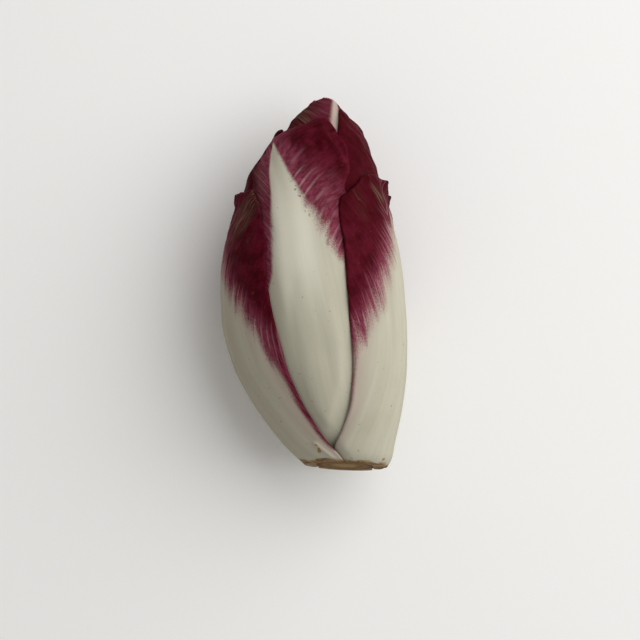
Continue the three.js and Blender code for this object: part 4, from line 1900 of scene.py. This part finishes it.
@dataclass(frozen=True)
class StemPaint:
    """The stem's material: a dried cut with a paler middle, pale above."""

    rim: Colour = Colour(92, 64, 34)
    flesh: Colour = Colour(126, 96, 54)
    middle: Colour = Colour(144, 120, 78)
    ring: Colour = Colour(104, 76, 42)
    above: Colour = Colour(214, 208, 182)

    # The rings, by share of the cut's radius, and how far they wander.
    unevenness: Noise = Noise(0.28, 3.0)
    unevenness_reach: float = 0.22
    heart: Rise = Rise(0.30, 0.52)
    ring_at: float = 0.6
    ring_width: Rise = Rise(0.02, 0.09, 0.7, 0.0)
    browned: Rise = Rise(0.74, 0.98)

    # Fibres, the pale flesh above the cut by mm, the gloss and the relief.
    fibre: Noise = Noise(1.3, 4.0, 0.65)
    fibres: Rise = Rise(0.5, 0.72, 0.0, 0.55)
    uncut: Rise = Rise(0.2, 2.0)
    glosses: Rise = Rise(0.3, 0.7, 0.62, 0.85)
    crumble: Noise = Noise(0.9, 5.0, 0.65)
    relief_strength: float = 0.6
    relief_metres: float = 0.0005

    def material(self, name: str) -> bpy.types.Material:
        """Build the material, ringed by each place's share of the radius.

        Args:
            name: The material's name.

        Returns:
            The material of the stem.
        """
        graph = Graph(name)
        grain = graph.place()
        uneven = graph.noise(self.unevenness, grain)
        share = graph.sway(uneven, self.unevenness_reach, graph.attribute("ring"))
        colour = graph.mix(graph.step(share, self.heart), self.middle, self.flesh)
        band = graph.math("ABSOLUTE", graph.math("SUBTRACT", share, self.ring_at))
        colour = graph.mix(graph.step(band, self.ring_width), colour, self.ring)
        colour = graph.mix(graph.step(share, self.browned), colour, self.rim)
        fibre = graph.noise(self.fibre, grain)
        colour = graph.mix(graph.step(fibre, self.fibres), colour, self.rim)
        colour = graph.mix(graph.step(graph.attribute("up"), self.uncut), colour, self.above)
        graph.set(
            base_color=colour,
            roughness=graph.step(fibre, self.glosses),
            specular_ior_level=0.06,
            subsurface_weight=0.05,
            subsurface_radius=(0.0015, 0.001, 0.0006),
            subsurface_scale=1.0,
        )
        relief = graph.noise(self.crumble, grain)
        graph.bump(relief, self.relief_strength, self.relief_metres)
        return graph.material


@dataclass(frozen=True)
class Softbox:
    """A square softbox, its size in metres and its power in watts."""

    name: str
    place: tuple[float, float, float]
    size: float
    power: float


@dataclass(frozen=True)
class Studio:
    """The floor, the soft light and the camera over the head."""

    lens: float = 112.0
    sensor: float = 36.0
    distance: float = 0.694
    target: tuple[float, float, float] = (0.0021, -0.01267, 0.030)
    elevation: float = 88.0
    floor_size: float = 3.0
    floor: Colour = Colour(250, 250, 249)
    floor_roughness: float = 0.85
    sky: float = 0.38
    sky_colour: tuple[float, float, float, float] = (1.0, 0.975, 0.94, 1.0)
    key: Softbox = Softbox("key_light", place=(0.85, 0.45, 0.85), size=1.7, power=19.0)

    def build(self) -> None:
        """Put up the floor, the lights and the camera."""
        self._floor()
        self._sky()
        self._softbox(self.key)
        self._camera()

    def _floor(self) -> None:
        """Lay a plain pale floor under the head."""
        half = self.floor_size / 2.0
        mesh = bpy.data.meshes.new("floor")
        corners = [(-half, -half, 0), (half, -half, 0), (half, half, 0), (-half, half, 0)]
        mesh.from_pydata(corners, [], [(0, 1, 2, 3)])
        graph = Graph("floor")
        graph.set(base_color=self.floor.linear, roughness=self.floor_roughness)
        mesh.materials.append(graph.material)
        floor = bpy.data.objects.new("floor", mesh)
        bpy.context.scene.collection.objects.link(floor)

    def _sky(self) -> None:
        """Light everything softly and evenly from all round."""
        world = bpy.data.worlds.new("studio")
        world.use_nodes = True
        background = world.node_tree.nodes["Background"]
        background.inputs["Color"].default_value = self.sky_colour
        background.inputs["Strength"].default_value = self.sky
        bpy.context.scene.world = world
        bpy.context.scene.view_settings.view_transform = "Standard"

    @staticmethod
    def _softbox(box: Softbox) -> None:
        """Hang a square softbox that faces the head.

        Args:
            box: Its place, size and power.
        """
        light = bpy.data.lights.new(box.name, "AREA")
        light.energy = box.power
        light.size = box.size
        hung = bpy.data.objects.new(box.name, light)
        hung.location = box.place
        hung.rotation_mode = "QUATERNION"
        hung.rotation_quaternion = (-hung.location).to_track_quat("-Z", "Y")
        bpy.context.scene.collection.objects.link(hung)

    def _camera(self) -> None:
        """Stand the camera over the head, its base towards the viewer."""
        tilt = np.radians(self.elevation)
        back = Vector((0.0, -np.cos(tilt), np.sin(tilt)))
        data = bpy.data.cameras.new("camera")
        data.lens = self.lens
        data.sensor_width = self.sensor
        camera = bpy.data.objects.new("camera", data)
        camera.location = Vector(self.target) + back * self.distance
        camera.rotation_mode = "QUATERNION"
        camera.rotation_quaternion = (-back).to_track_quat("-Z", "Y")
        bpy.context.scene.collection.objects.link(camera)
        bpy.context.scene.camera = camera


class Endive:
    """The head: lays its leaves in order and makes each one's piece."""

    def __init__(self, form: HeadForm) -> None:
        """Start an empty head of a form.

        Args:
            form: The head's form.
        """
        self.form = form
        self.crowding = Crowding(form)
        self.paint = LeafPaint().material("leaf")
        self.stem_paint = StemPaint().material("stem")

    def build(self) -> None:
        """Make all leaves from the outside inwards, then the stem."""
        for plan in shown_leaf_plans() + HeartRule().plans():
            self._leaf(plan)
        stem = StemShell().build(self.form).piece("stem_and_heart_fine", self.stem_paint)
        self._attach(stem, "stem_and_heart", Slot.STEM)

    def _leaf(self, plan: LeafPlan) -> None:
        """Make one leaf where the crowding lets it lie, and lay it.

        Args:
            plan: The leaf's plan.
        """
        self.crowding.settle()
        leaf = Leaf(plan, self.form, self.crowding)
        piece = LeafShell().build(leaf).piece(f"{plan.name}_fine", self.paint)
        self._attach(piece, plan.name, plan.slot)
        leaf.lay()

    @staticmethod
    def _attach(piece: bpy.types.Object, node: str, slot: Slot) -> None:
        """Let a piece stand for its solid and move with the head.

        Args:
            piece: The piece.
            node: The solid that it stands for.
            slot: What it is made of; not used.
        """
        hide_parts(node)
        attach(piece, "root")


def main() -> None:
    """Load the frame, and build the head and the studio."""
    logging.basicConfig(level=logging.INFO, format="%(name)s: %(message)s")
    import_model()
    Endive(HeadForm()).build()
    Studio().build()


if __name__ == "__main__":
    main()
